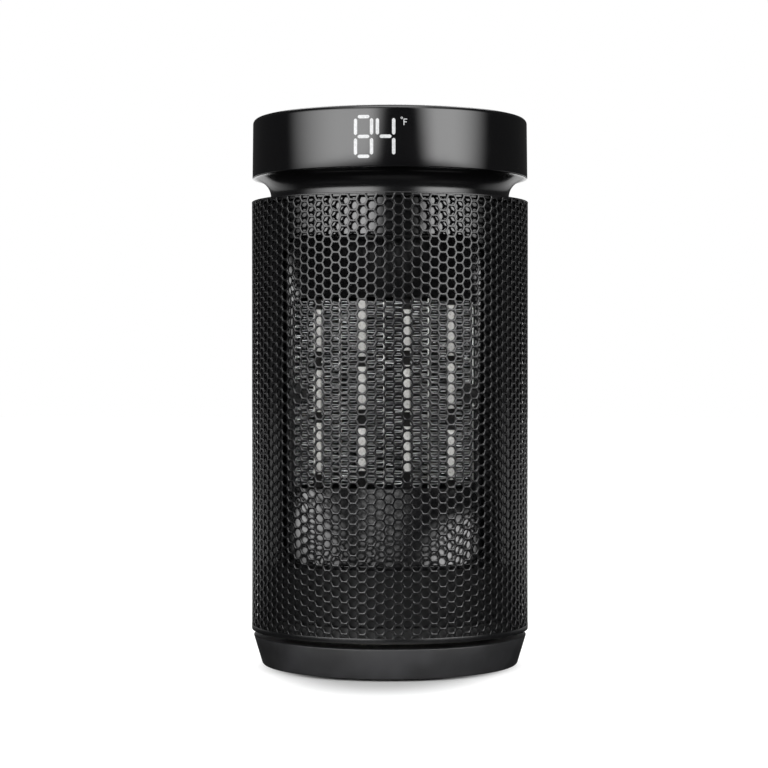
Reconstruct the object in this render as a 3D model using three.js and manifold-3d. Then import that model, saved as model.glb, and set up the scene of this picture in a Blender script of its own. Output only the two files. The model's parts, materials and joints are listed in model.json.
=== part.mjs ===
// Round ceramic tower heater that swings on its base.
// Millimetres, +Z up. The origin is on the floor under the swivel axis, and the air leaves towards -Y.
import * as THREE from 'three';
import { mergeVertices } from 'three/addons/utils/BufferGeometryUtils.js';
import Module from 'manifold-3d';

const wasm = await Module();
wasm.setup();

// ---------------------------------------------------------------- driving dimensions
const GAP = 0.3; // clearance between pieces that touch
const HEIGHT = 331;
const BODY_R = 84; // outer radius of the steel sleeve

const BASE = { bottom: 1.2, top: 19.2, bottomR: 77.9, topR: 82.8, wall: 2.4, holeR: 43 };
const PLATE = { z: 1.2, h: 3, r: 74.4 };
const FOOT = { r: 7, h: 2.6, orbit: 61, sink: 1.7 };
const PLUNGER = { y: -64, r: 3.8, flangeR: 5.6, travel: 4 };
const INLET = { z: 10.6, r: 5, boreR: 3.6, flangeR: 5.9, in: 72.4, out: 81.4 };
const GEAR = { module: 1.25, ringTeeth: 72, pinionTeeth: 10, z: 11.6, h: 4.8, rimR: 51, angle: 128 };
const PIVOT = { postR: 8, boreR: 5, bushR: 10.4, hubR: 14, top: 34 };

const SLEEVE = { bottom: 22.2, top: 281, wall: 0.8, sides: 72 };
const TRAY = { z: 22.6, h: 2.6, r: 82.8, lip: 8.4 };
const HOUSING = { r: 80.4, wall: 2.2, bottom: 32, top: 278.4 };
const WINDOW = { halfW: 59, bottom: 66.5, top: 257, corner: 12 };
const COVE = { r: 11, wall: 2, ledge: 2.2, outR: 83.4 };
const CAP = { bottom: 294.6, r: 83.6, topR: 83.25, edge: 3, wall: 2.4, rimW: 7 };
const PANEL = { top: 330.6, h: 2.2 };
const KEY = { r: 7.1, flangeR: 8.4, stemR: 2, y: -18, pitch: 23, travel: 1 };

const AIR_Z = 165.5; // height of the fan and of the heating element
const PTC = { front: -54, depth: 14, cell: 26, cells: 4, height: 111, fold: 6, foil: 0.5 };
const STONE = { w: 4.6, h: 28, gap: 7, carrier: 2 };
const STRIP = 0.8; // contact strips between the cells
const FRAME_RAIL = 3;
const FAN = { r: 50, hubR: 20, front: -31, back: -12, blades: 7, ductR: 53, duct: 2.2 };
const MOTOR = { r: 21, front: -4, back: 34 };

const deg = THREE.MathUtils.degToRad;
const TAU = Math.PI * 2;

// ---------------------------------------------------------------- finishes
const finish = (color, roughness, metalness = 0) => ({ color, roughness, metalness });
const SATIN_BLACK = finish(0x141416, 0.42);
const GLOSS_BLACK = finish(0x0a0a0b, 0.08);
const SLEEVE_PAINT = finish(0x101012, 0.25, 0.3);
const DARK_PLASTIC = finish(0x202123, 0.5);
const RUBBER = finish(0x0c0c0c, 0.85);
const NYLON = finish(0xd9d5c8, 0.5);
const STEEL = finish(0x9a9ca0, 0.35, 1);
const ALUMINIUM = finish(0xb9bcc0, 0.38, 1);
const CERAMIC = finish(0xb7b4ad, 0.6);
const PCB_GREEN = finish(0x1f4a2c, 0.5);
const BRASS = finish(0xb08d4a, 0.35, 1);

// ---------------------------------------------------------------- solids
/** Turns every triangle over when the faces point inwards. */
function faceOut(geometry) {
  const p = geometry.attributes.position;
  const index = geometry.index.array;
  let volume = 0;
  const [a, b, c] = [0, 1, 2].map(() => new THREE.Vector3());
  for (let i = 0; i < index.length; i += 3) {
    a.fromBufferAttribute(p, index[i]);
    b.fromBufferAttribute(p, index[i + 1]);
    c.fromBufferAttribute(p, index[i + 2]);
    volume += a.dot(b.cross(c));
  }
  if (volume < 0) {
    for (let i = 0; i < index.length; i += 3) {
      [index[i], index[i + 1]] = [index[i + 1], index[i]];
    }
  }
  return geometry;
}

/** Welds a geometry into one closed skin with its faces out. */
function weld(geometry) {
  geometry.deleteAttribute('normal');
  geometry.deleteAttribute('uv');
  return faceOut(mergeVertices(geometry, 1e-4));
}

/** A three.js geometry as a solid that can be joined and cut. */
function solid(geometry) {
  const welded = weld(geometry);
  const mesh = new wasm.Mesh({
    numProp: 3,
    vertProperties: new Float32Array(welded.attributes.position.array),
    triVerts: new Uint32Array(welded.index.array),
  });
  return new wasm.Manifold(mesh);
}

/** A finished solid as a geometry. */
function skin(body) {
  const mesh = body.getMesh();
  const geometry = new THREE.BufferGeometry();
  geometry.setAttribute('position', new THREE.BufferAttribute(mesh.vertProperties, 3));
  geometry.setIndex(new THREE.BufferAttribute(mesh.triVerts, 1));
  return geometry;
}

/** Joins several solids into one. */
const join = (...bodies) => bodies.reduce((sum, body) => sum.add(body));

/** Cuts every following solid out of the first. */
const cut = (body, ...tools) => tools.reduce((rest, tool) => rest.subtract(tool), body);

/** Turned body about Z from a list of [radius, z] points. A ring's profile closes on itself. */
function turned(points, sides = 48) {
  const profile = points.map(([r, z]) => new THREE.Vector2(r, z));
  const ring = points.every(([r]) => r > 0);
  if (ring) profile.push(profile[0].clone());
  return solid(new THREE.LatheGeometry(profile, sides).rotateX(Math.PI / 2));
}

/** Turned body about the Y axis through height z: the points are [radius, y]. */
function turnedAlongY(points, z, sides = 32) {
  const geometry = skin(turned(points, sides));
  return solid(geometry.rotateX(-Math.PI / 2).translate(0, 0, z));
}

/** Ring about Z. */
const ring = (inR, outR, z, h, sides = 48) => turned([[inR, z], [outR, z], [outR, z + h], [inR, z + h]], sides);

/** Disc about Z. */
const disc = (r, z, h, sides = 48) => turned([[0, z], [r, z], [r, z + h], [0, z + h]], sides);

/** Box from its lowest and highest corner. */
function box(low, high) {
  const size = high.map((v, i) => v - low[i]);
  const centre = low.map((v, i) => v + size[i] / 2);
  return solid(new THREE.BoxGeometry(...size).translate(...centre));
}

/** Box that lies the same way on both sides of X = 0. */
const centred = (halfW, y0, y1, z0, z1) => box([-halfW, y0, z0], [halfW, y1, z1]);

/** Outline in XY pushed up from z by h. */
function pushedUp(shape, z, h, curveSegments = 12) {
  const options = { depth: h, bevelEnabled: false, curveSegments };
  return solid(new THREE.ExtrudeGeometry(shape, options).translate(0, 0, z));
}

/** Outline in XZ pushed back from y0 to y1. */
function pushedBack(shape, y0, y1, curveSegments = 6) {
  const options = { depth: y1 - y0, bevelEnabled: false, curveSegments };
  const geometry = new THREE.ExtrudeGeometry(shape, options);
  return solid(geometry.rotateX(Math.PI / 2).translate(0, y1, 0));
}

/** Outline in YZ pushed sideways to both sides of X = 0. */
function pushedAcross(shape, halfW) {
  const options = { depth: 2 * halfW, bevelEnabled: false };
  const geometry = new THREE.ExtrudeGeometry(shape, options);
  const frame = new THREE.Matrix4().set(0, 0, 1, -halfW, 1, 0, 0, 0, 0, 1, 0, 0, 0, 0, 0, 1);
  return solid(geometry.applyMatrix4(frame));
}

/** Straight-sided outline through a list of [x, y] points. */
const outline = (points) => new THREE.Shape(points.map(([x, y]) => new THREE.Vector2(x, y)));

/** Rectangle with round corners. */
function roundedRect(x0, y0, x1, y1, r) {
  const shape = new THREE.Shape();
  shape.moveTo(x0 + r, y0);
  shape.lineTo(x1 - r, y0);
  shape.absarc(x1 - r, y0 + r, r, -Math.PI / 2, 0);
  shape.lineTo(x1, y1 - r);
  shape.absarc(x1 - r, y1 - r, r, 0, Math.PI / 2);
  shape.lineTo(x0 + r, y1);
  shape.absarc(x0 + r, y1 - r, r, Math.PI / 2, Math.PI);
  shape.lineTo(x0, y0 + r);
  shape.absarc(x0 + r, y0 + r, r, Math.PI, 1.5 * Math.PI);
  return shape;
}

/** Points of a round stretch of a profile. */
function arc(cx, cy, r, from, to, steps) {
  return Array.from({ length: steps + 1 }, (_, i) => {
    const a = deg(from + ((to - from) * i) / steps);
    return [cx + r * Math.cos(a), cy + r * Math.sin(a)];
  });
}

/** Places one named piece in a group. */
function place(group, name, body, look, position = [0, 0, 0]) {
  const material = new THREE.MeshStandardMaterial(look);
  const mesh = new THREE.Mesh(skin(body), material);
  mesh.name = name;
  mesh.position.set(...position);
  group.add(mesh);
}

// ---------------------------------------------------------------- base
/** Tapered shell with a flat deck and a hole for the swing drive. */
function baseShell() {
  const deck = BASE.top - BASE.wall;
  const shell = turned([
    [BASE.holeR, BASE.top], [BASE.topR - 0.8, BASE.top], [BASE.topR, BASE.top - 0.8],
    [BASE.bottomR, BASE.bottom + 1.1], [BASE.bottomR - 1.1, BASE.bottom], [BASE.bottomR - 3, BASE.bottom],
    [BASE.topR - 3.1, deck], [BASE.holeR, deck],
  ], 48);
  const inletHole = [[0, INLET.in - 6], [INLET.r + GAP, INLET.in - 6], [INLET.r + GAP, BODY_R + 2], [0, BODY_R + 2]];
  return cut(shell, turnedAlongY(inletHole, INLET.z, 16));
}

/** Bottom plate with a pocket for each foot and a hole for the tip-over plunger. */
function basePlate() {
  const pockets = footPlaces().map(([x, y]) => disc(FOOT.r + 0.4, 0, PLATE.z + FOOT.sink, 16).translate(x, y, 0));
  const plungerHole = disc(PLUNGER.r + 0.5, 0, 10, 20).translate(0, PLUNGER.y, 0);
  return cut(disc(PLATE.r, PLATE.z, PLATE.h, 48), ...pockets, plungerHole);
}

/** Middle of each foot. */
function footPlaces() {
  return [225, 315, 45, 135].map((a) => [FOOT.orbit * Math.cos(deg(a)), FOOT.orbit * Math.sin(deg(a))]);
}

/** Spring-loaded pin under the base that rises when the heater stands. */
function tipPlunger() {
  const shoulder = PLATE.z + PLATE.h + PLUNGER.travel + GAP;
  return turned([
    [0, 0.2], [PLUNGER.r - 0.8, 0.2], [PLUNGER.r, 1], [PLUNGER.r, shoulder], [PLUNGER.flangeR, shoulder],
    [PLUNGER.flangeR, shoulder + 1.2], [1.8, shoulder + 1.2], [1.8, 12.3], [0, 12.3],
  ], 20);
}

/** Microswitch above the plunger, with an ear at each end. */
function tipSwitch() {
  const y = PLUNGER.y;
  return join(centred(10, y - 3.2, y + 3.2, 12.6, 16.5), centred(14, y - 2.2, y + 2.2, 15, 16.5));
}

/** Grommet that lines the cord's hole at the back of the base. */
function cordInlet() {
  const shoulder = INLET.in + 1.8;
  return turnedAlongY([
    [INLET.boreR, INLET.in], [INLET.flangeR, INLET.in], [INLET.flangeR, shoulder], [INLET.r, shoulder],
    [INLET.r, INLET.out - 0.8], [INLET.r - 0.8, INLET.out], [INLET.boreR, INLET.out],
  ], INLET.z, 16);
}

/** Gear outline. An internal gear's outline is the hole inside its ring. */
function gearOutline(teeth, internal) {
  const pitchR = (GEAR.module * teeth) / 2;
  const out = internal ? 1.15 : 0.8;
  const rootR = pitchR - GEAR.module * (internal ? 0.75 : 1.15);
  const tipR = pitchR + GEAR.module * out;
  const step = TAU / teeth;
  const [low, high] = internal ? [0.31, 0.2] : [0.235, 0.1];
  const points = [];
  for (let i = 0; i < teeth; i += 1) {
    for (const [r, share] of [[rootR, -low], [tipR, -high], [tipR, high], [rootR, low]]) {
      points.push([r * Math.cos((i + share) * step), r * Math.sin((i + share) * step)]);
    }
  }
  return outline(points);
}

/** Internal ring gear under the deck. */
function ringGear() {
  const bore = pushedUp(gearOutline(GEAR.ringTeeth, true), GEAR.z - 1, GEAR.h + 2);
  return cut(disc(GEAR.rimR, GEAR.z, GEAR.h, 36), bore);
}

/** Distance from the swivel axis to the pinion's axis, and the pinion's place. */
const PINION_ORBIT = (GEAR.module * (GEAR.ringTeeth - GEAR.pinionTeeth)) / 2;
const PINION_AT = [PINION_ORBIT * Math.cos(deg(GEAR.angle)), PINION_ORBIT * Math.sin(deg(GEAR.angle))];

/** Hollow post that the head turns on, with a flange on the bottom plate. */
function pivotPost() {
  const foot = PLATE.z + PLATE.h + GAP;
  return turned([
    [PIVOT.boreR, foot], [16, foot], [16, foot + 2.5], [PIVOT.postR, foot + 2.5],
    [PIVOT.postR, PIVOT.top], [PIVOT.boreR, PIVOT.top],
  ], 24);
}

function buildBase(group) {
  place(group, 'base_shell', baseShell(), SATIN_BLACK);
  place(group, 'base_plate', basePlate(), DARK_PLASTIC);
  const foot = turned([[0, 0], [FOOT.r - 0.6, 0], [FOOT.r, 0.6], [FOOT.r, FOOT.h], [0, FOOT.h]], 16);
  footPlaces().forEach(([x, y], i) => place(group, `foot_${i + 1}`, foot, RUBBER, [x, y, 0]));
  place(group, 'tip_plunger', tipPlunger(), NYLON, [0, PLUNGER.y, 0]);
  place(group, 'tip_switch', tipSwitch(), DARK_PLASTIC);
  place(group, 'cord_inlet', cordInlet(), RUBBER);
  place(group, 'swing_ring_gear', ringGear(), NYLON);
  place(group, 'pivot_post', pivotPost(), DARK_PLASTIC);
  place(group, 'pivot_retainer', ring(PIVOT.postR + GAP, PIVOT.hubR, 30.4, 2, 24), STEEL);
  place(group, 'glide_ring', ring(58, 64, BASE.top + GAP, TRAY.z - BASE.top - 2 * GAP, 36), NYLON);
}

// ---------------------------------------------------------------- swing drive and lower head
/** Floor of the head, with the hub that turns on the post and a lip inside the sleeve. */
function swivelTray() {
  const top = TRAY.z + TRAY.h;
  const tray = turned([
    [PIVOT.bushR + GAP, 13], [PIVOT.hubR, 13], [PIVOT.hubR, TRAY.z], [TRAY.r, TRAY.z],
    [TRAY.r, TRAY.z + TRAY.lip], [TRAY.r - 2.2, TRAY.z + TRAY.lip], [TRAY.r - 2.2, top], [PIVOT.hubR, top],
    [PIVOT.hubR, 30], [PIVOT.bushR + GAP, 30],
  ], 40);
  return cut(tray, disc(4.2, 0, 40, 16).translate(...PINION_AT, 0));
}

/** Pinion and its shaft, made about its own axis, with a tooth towards the ring gear. */
function swingPinion() {
  const shaftTop = TRAY.z + TRAY.h - 0.2;
  const gear = pushedUp(gearOutline(GEAR.pinionTeeth, false), GEAR.z + 0.3, GEAR.h - 0.6);
  return join(gear, disc(2.5, GEAR.z + 0.3, shaftTop - GEAR.z - 0.3, 16)).rotate([0, 0, pinionTurn()]);
}

/** Turn of the pinion that sets one of its teeth in a space of the ring gear. */
function pinionTurn() {
  const ringStep = 360 / GEAR.ringTeeth;
  const spaceAngle = Math.round(GEAR.angle / ringStep) * ringStep;
  const miss = GEAR.angle - spaceAngle;
  return GEAR.angle - (miss * GEAR.ringTeeth) / GEAR.pinionTeeth;
}

/** Geared motor, its shaft off centre over the pinion. */
function swingMotor() {
  const orbit = PINION_ORBIT + 8;
  const x = orbit * Math.cos(deg(GEAR.angle));
  const y = orbit * Math.sin(deg(GEAR.angle));
  const floor = TRAY.z + TRAY.h + GAP;
  const ears = box([-17.5, -3.5, floor], [17.5, 3.5, floor + 1.2]).rotate([0, 0, GEAR.angle + 90]);
  return join(disc(14, floor, 19, 32), ears).translate(x, y, 0);
}

/** Half of the round inner housing: front is towards -Y. */
function housingHalf(front) {
  const inR = HOUSING.r - HOUSING.wall;
  const [from, to] = front ? [deg(180.3), deg(359.7)] : [deg(0.3), deg(179.7)];
  const shape = new THREE.Shape();
  shape.absarc(0, 0, HOUSING.r, from, to, false);
  shape.absarc(0, 0, inR, to, from, true);
  return pushedUp(shape, HOUSING.bottom, HOUSING.top - HOUSING.bottom, 24);
}

/** Front housing with the outlet window. */
function frontHousing() {
  const rect = roundedRect(-WINDOW.halfW, WINDOW.bottom, WINDOW.halfW, WINDOW.top, WINDOW.corner);
  return cut(housingHalf(true), pushedBack(rect, -100, -20));
}

/** Rear housing with columns of air slots. */
function rearHousing() {
  const slots = [];
  for (let z = 98; z < 236; z += 28) {
    for (const x of [-36, 0, 36]) slots.push(box([x - 14, 30, z], [x + 14, 100, z + 14]));
  }
  return cut(housingHalf(false), ...slots);
}

/** Round block that trims a piece to fit inside the housing. */
const insideHousing = () => disc(HOUSING.r - HOUSING.wall - GAP, 0, HEIGHT, 64);

/** Curved chute from the element's lower edge to the window's lower edge. */
function lowerScoop() {
  const z = AIR_Z - PTC.height / 2 - FRAME_RAIL;
  const face = [[PTC.front - 0.8, z], [-60, 92], [-67.5, 78], [-84, 62]];
  const back = face.map(([y, level]) => [y + 1.8, level - 2]).reverse();
  return pushedAcross(outline([...face, ...back]), WINDOW.halfW - 1).intersect(insideHousing());
}

/** Hood from the element's upper edge to the window's upper edge. */
function upperHood() {
  const z = AIR_Z + PTC.height / 2 + FRAME_RAIL;
  const shape = outline([[PTC.front - 0.8, z], [-84, z + 42], [-84, z + 45], [PTC.front + 1.2, z]]);
  return pushedAcross(shape, WINDOW.halfW - 1).intersect(insideHousing());
}

// ---------------------------------------------------------------- heating element
const PTC_HALF_W = (PTC.cell * PTC.cells) / 2;
const PTC_LOW = AIR_Z - PTC.height / 2;
const PTC_HIGH = AIR_Z + PTC.height / 2;

/** Open frame round the element, with a hooked rail in front and a lug at each side. */
function ptcFrame() {
  const [y0, y1] = [PTC.front - 0.4, PTC.front + PTC.depth + 2];
  const w = PTC_HALF_W + STRIP + GAP;
  const rail = FRAME_RAIL - STRIP;
  const outer = centred(w + rail, y0, y1, PTC_LOW - FRAME_RAIL, PTC_HIGH + FRAME_RAIL);
  return cut(outer, centred(w, y0 - 1, y1 + 1, PTC_LOW - GAP, PTC_HIGH + GAP));
}

/** Folded fin: one thin ribbon that runs to and fro across its strip. */
function finStrip(x0, x1) {
  const { fold, foil } = PTC;
  const start = PTC_LOW + 0.8;
  const bends = Math.floor((PTC.height - 2) / (2 * fold));
  const right = [];
  const left = [];
  for (let i = 0; i < bends; i += 1) {
    const z = start + 2 * fold * i;
    right.push([i ? x0 + foil : x0, z], [x1, z], [x1, z + fold + foil], [x0 + foil, z + fold + foil]);
    left.push([x0, z + foil], [x1 - foil, z + foil], [x1 - foil, z + fold], [x0, z + fold]);
  }
  right.pop();
  right.push([x0, start + 2 * fold * bends - fold + foil]);
  const ribbon = outline([...right, ...left.slice(0, -1).reverse()]);
  return pushedBack(ribbon, PTC.front + 0.6, PTC.front + PTC.depth - 0.6);
}

/** Heating stones in a row on their carrier strip. */
function stoneColumn() {
  const y1 = PTC.front + PTC.depth;
  const carrier = centred(STONE.w / 2, y1 - STONE.carrier - 5, y1, PTC_LOW, PTC_HIGH);
  const pitch = STONE.h + STONE.gap;
  const stones = [-1, 0, 1].map((i) => {
    const z = AIR_Z + i * pitch;
    return centred(STONE.w / 2, PTC.front, y1 - STONE.carrier, z - STONE.h / 2, z + STONE.h / 2);
  });
  return join(carrier, ...stones);
}

function buildElement(group) {
  place(group, 'ptc_frame', ptcFrame(), DARK_PLASTIC);
  const finW = (PTC.cell - STONE.w - STRIP) / 2;
  for (let i = 0; i < PTC.cells; i += 1) {
    const x = -PTC_HALF_W + PTC.cell * (i + 0.5);
    const inner = STONE.w / 2 + GAP;
    place(group, `ptc_stones_${i + 1}`, stoneColumn(), CERAMIC, [x, 0, 0]);
    const outer = STONE.w / 2 + finW - GAP;
    place(group, `ptc_fin_${i + 1}_left`, finStrip(x - outer, x - inner), ALUMINIUM);
    place(group, `ptc_fin_${i + 1}_right`, finStrip(x + inner, x + outer), ALUMINIUM);
  }
  for (let i = 0; i <= PTC.cells; i += 1) {
    const strip = centred(STRIP / 2, PTC.front, PTC.front + PTC.depth, PTC_LOW, PTC_HIGH);
    place(group, `ptc_strip_${i + 1}`, strip, STEEL, [-PTC_HALF_W + PTC.cell * i, 0, 0]);
  }
}

// ---------------------------------------------------------------- fan
/** Wall across the housing with a round duct for the fan. */
function fanBulkhead() {
  const plate = centred(75.5, -8, -5.6, 84, 247);
  const duct = [[FAN.ductR, -36], [FAN.ductR + FAN.duct, -36], [FAN.ductR + FAN.duct, -6], [FAN.ductR, -6]];
  const bore = turnedAlongY([[0, -40], [FAN.ductR, -40], [FAN.ductR, 0], [0, 0]], AIR_Z, 36);
  return join(cut(plate, bore), turnedAlongY(duct, AIR_Z, 36));
}

/** Ring round the motor on three legs that stand on the bulkhead. */
function motorBracket() {
  const hoop = turnedAlongY([[MOTOR.r + GAP, 8], [MOTOR.r + 3, 8], [MOTOR.r + 3, 15], [MOTOR.r + GAP, 15]], 0);
  const legs = [90, 210, 330].map((a) => {
    const spoke = box([MOTOR.r + 1.5, 10, -4.5], [61, 13, 4.5]);
    const leg = box([57.5, -5.3, -4.5], [61, 13, 4.5]);
    return join(spoke, leg).rotate([0, -a, 0]);
  });
  return join(hoop, ...legs).translate(0, 0, AIR_Z);
}

/** Can of the fan motor, stepped at both ends. */
function fanMotor() {
  return turnedAlongY([
    [0, MOTOR.front], [8, MOTOR.front], [8, 0], [MOTOR.r - 1, 0], [MOTOR.r, 1], [MOTOR.r, MOTOR.back - 5],
    [MOTOR.r - 1, MOTOR.back - 4], [9, MOTOR.back - 4], [9, MOTOR.back], [0, MOTOR.back],
  ], AIR_Z, 24);
}

/** Fan with a domed hub and pitched blades. */
function impeller() {
  const hub = turnedAlongY([
    [0, FAN.front], [FAN.hubR * 0.6, FAN.front + 1], [FAN.hubR, FAN.front + 5], [FAN.hubR, FAN.back],
    [0, FAN.back],
  ], 0, 28);
  const blades = Array.from({ length: FAN.blades }, (_, i) => {
    const width = FAN.back - FAN.front - 3;
    const blade = outline([
      [FAN.hubR - 1, -width * 0.42], [FAN.r * 0.8, -width * 0.8], [FAN.r - 1.5, -width * 0.5],
      [FAN.r - 0.5, width * 0.3], [FAN.r * 0.8, width * 0.62], [FAN.hubR - 1, width * 0.42],
    ]);
    const middle = (FAN.front + FAN.back) / 2 + 1;
    const pitched = pushedUp(blade, -0.9, 1.8).rotate([32, 0, 0]);
    return pitched.translate(0, middle, 0).rotate([0, (360 * i) / FAN.blades, 0]);
  });
  const rim = turnedAlongY([[0, FAN.front], [FAN.r, FAN.front], [FAN.r, FAN.back], [0, FAN.back]], 0, 36);
  return join(hub, ...blades).intersect(rim).translate(0, 0, AIR_Z);
}

function buildFan(group) {
  place(group, 'fan_bulkhead', fanBulkhead(), DARK_PLASTIC);
  place(group, 'motor_bracket', motorBracket(), STEEL);
  place(group, 'fan_motor', fanMotor(), STEEL);
  place(group, 'fan_impeller', impeller(), DARK_PLASTIC);
  const shaft = [[0, FAN.back + GAP], [2.5, FAN.back + GAP], [2.5, MOTOR.front - GAP], [0, MOTOR.front - GAP]];
  place(group, 'fan_shaft', turnedAlongY(shaft, AIR_Z, 16), STEEL);
  const nut = [[0, -35], [4.4, -35], [5, -34.4], [5, FAN.front - GAP], [0, FAN.front - GAP]];
  place(group, 'fan_nut', turnedAlongY(nut, AIR_Z, 6), BRASS);
}

// ---------------------------------------------------------------- upper head
/** Flared finger groove between the sleeve and the cap, with a ledge inside the sleeve's top. */
function neckRing() {
  const cx = COVE.outR;
  const cy = CAP.bottom - GAP - COVE.r;
  const neckR = COVE.outR - COVE.r;
  const ledge = SLEEVE.top - COVE.ledge;
  const spigotR = CAP.topR - CAP.wall - GAP - 0.2;
  const inner = arc(cx, cy, COVE.r + COVE.wall, 110.4, 180, 2);
  return turned([
    [TRAY.r, SLEEVE.top], [neckR, SLEEVE.top], ...arc(cx, cy, COVE.r, 180, 90, 6),
    [spigotR, cy + COVE.r], [spigotR, CAP.bottom + 3.4], [spigotR - 1.6, CAP.bottom + 3.4], ...inner,
    [neckR - COVE.wall, ledge], [TRAY.r, ledge],
  ], 48);
}

/** Smoked band round the top, with a round upper edge. */
function capBand() {
  const inR = CAP.topR - CAP.wall;
  const edge = arc(CAP.topR - CAP.edge, HEIGHT - CAP.edge, CAP.edge, 0, 90, 4);
  const panelR = CAP.topR - CAP.rimW;
  return turned([
    [inR, CAP.bottom], [CAP.r - 0.3, CAP.bottom], [CAP.r, CAP.bottom + 0.3], ...edge,
    [panelR, HEIGHT], [panelR, HEIGHT - CAP.wall], [inR, HEIGHT - CAP.wall],
  ], 48);
}

/** Middle of each key on the panel. */
const keyPlaces = [-2, -1, 0, 1, 2].map((i) => [i * KEY.pitch, KEY.y]);

/** Top panel with a hole for each key. */
function topPanel() {
  const r = CAP.topR - CAP.rimW - GAP;
  const holes = keyPlaces.map(([x, y]) => disc(KEY.r + 0.4, 300, 50, 16).translate(x, y, 0));
  return cut(disc(r, PANEL.top - PANEL.h, PANEL.h, 48), ...holes);
}

/** Round key with a flange under the panel and a stem over its switch. */
function topKey() {
  const flange = PANEL.top - PANEL.h - GAP - 2;
  const top = HEIGHT - 0.1;
  return turned([
    [0, 318.5], [KEY.stemR, 318.5], [KEY.stemR, flange], [KEY.flangeR, flange], [KEY.flangeR, flange + 1.6],
    [KEY.r, flange + 1.6], [KEY.r, top - 0.4], [KEY.r - 0.4, top], [0, top],
  ], 16);
}

/** Board under the keys with one push switch for each. */
function controlBoard() {
  const switches = keyPlaces.map(([x, y]) => box([x - 3, y - 3, 313.5], [x + 3, y + 3, 317.1]));
  return join(centred(58, -30, 24, 312, 313.6), centred(7, 2, 16, 313.5, 316), ...switches);
}

/** Light module behind the front of the band. */
function displayModule() {
  return join(centred(24, -76, -70, 299, 324), centred(20, -70.1, -68, 302, 321));
}

/** Remote-control receiver beside the display. */
function irReceiver() {
  return box([31, -72, 306], [36, -67.5, 314]);
}

/** Mains board with its relay, capacitors and filter. */
function powerBoard() {
  const board = centred(44, -30, 38, 50, 51.6);
  const relay = box([8, 6, 51.5], [28, 22, 68]);
  const filter = box([-34, -20, 51.5], [-12, -2, 66]);
  const capacitors = [[-24, 18], [-8, 22]].map(([x, y]) => disc(5.5, 51.5, 16, 16).translate(x, y, 0));
  return join(board, relay, filter, ...capacitors);
}

/** Disc thermostat on a tab over the element. */
function thermalCutoff() {
  const can = turnedAlongY([[0, -36], [7.5, -36], [8, -35.5], [8, -28], [0, -28]], 0, 24);
  return join(can, centred(12, -28.1, -27, -4, 4)).translate(-18, 0, 236);
}

function buildHead(group) {
  place(group, 'swivel_tray', swivelTray(), SATIN_BLACK);
  place(group, 'swivel_bush', ring(PIVOT.postR + 0.25, PIVOT.bushR, 13, 17, 24), NYLON);
  place(group, 'swing_motor', swingMotor(), STEEL);
  place(group, 'swing_pinion', swingPinion(), NYLON, [...PINION_AT, 0]);
  const sleeve = ring(BODY_R - SLEEVE.wall, BODY_R, SLEEVE.bottom, SLEEVE.top - SLEEVE.bottom, SLEEVE.sides);
  place(group, 'grille_sleeve', sleeve, SLEEVE_PAINT);
  place(group, 'front_housing', frontHousing(), GLOSS_BLACK);
  place(group, 'rear_housing', rearHousing(), DARK_PLASTIC);
  place(group, 'outlet_scoop', lowerScoop(), GLOSS_BLACK);
  place(group, 'outlet_hood', upperHood(), DARK_PLASTIC);
  place(group, 'neck_ring', neckRing(), GLOSS_BLACK);
  place(group, 'cap_band', capBand(), GLOSS_BLACK);
  place(group, 'top_panel', topPanel(), SATIN_BLACK);
  const keyNames = ['key_power', 'key_swing', 'key_mode', 'key_warmer', 'key_cooler'];
  keyPlaces.forEach(([x, y], i) => place(group, keyNames[i], topKey(), SATIN_BLACK, [x, y, 0]));
  place(group, 'control_board', controlBoard(), PCB_GREEN);
  place(group, 'display_module', displayModule(), DARK_PLASTIC);
  place(group, 'ir_receiver', irReceiver(), GLOSS_BLACK);
  place(group, 'power_board', powerBoard(), PCB_GREEN);
  place(group, 'thermal_cutoff', thermalCutoff(), STEEL);
}

const heater = new THREE.Group();
const base = new THREE.Group();
const head = new THREE.Group();
heater.add(base, head);
buildBase(base);
buildHead(head);
buildElement(head);
buildFan(head);

export default heater;
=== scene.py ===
"""Looks of a round ceramic tower heater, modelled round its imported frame."""

import json
import logging
import math
import random
from dataclasses import dataclass, field
from enum import Enum
from typing import Callable, Iterable, Optional, Sequence, Union

import bmesh
import bpy
import numpy as np
from mathutils import Matrix, Vector


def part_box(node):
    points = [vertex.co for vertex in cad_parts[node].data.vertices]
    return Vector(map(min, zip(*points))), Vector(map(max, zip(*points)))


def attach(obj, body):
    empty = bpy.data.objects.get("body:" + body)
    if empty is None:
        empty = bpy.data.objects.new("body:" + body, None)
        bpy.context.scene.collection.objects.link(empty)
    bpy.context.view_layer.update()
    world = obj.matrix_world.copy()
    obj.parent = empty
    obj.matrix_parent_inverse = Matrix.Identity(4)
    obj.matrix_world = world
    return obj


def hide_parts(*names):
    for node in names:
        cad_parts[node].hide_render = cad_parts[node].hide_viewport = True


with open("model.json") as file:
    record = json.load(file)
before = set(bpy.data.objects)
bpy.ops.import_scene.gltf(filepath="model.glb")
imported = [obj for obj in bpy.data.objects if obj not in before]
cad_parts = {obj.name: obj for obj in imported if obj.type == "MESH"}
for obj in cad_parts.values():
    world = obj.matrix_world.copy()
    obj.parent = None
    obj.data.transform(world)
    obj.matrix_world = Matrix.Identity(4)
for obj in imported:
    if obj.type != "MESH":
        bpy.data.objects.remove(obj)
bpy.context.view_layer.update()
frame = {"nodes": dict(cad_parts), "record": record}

Piece = bpy.types.Object
Tree = bpy.types.NodeTree
Node = bpy.types.Node
Socket = bpy.types.NodeSocket
Links = dict[object, Union[Node, Socket]]
Pair = tuple[float, float]
Profile = list[Pair]

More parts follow.
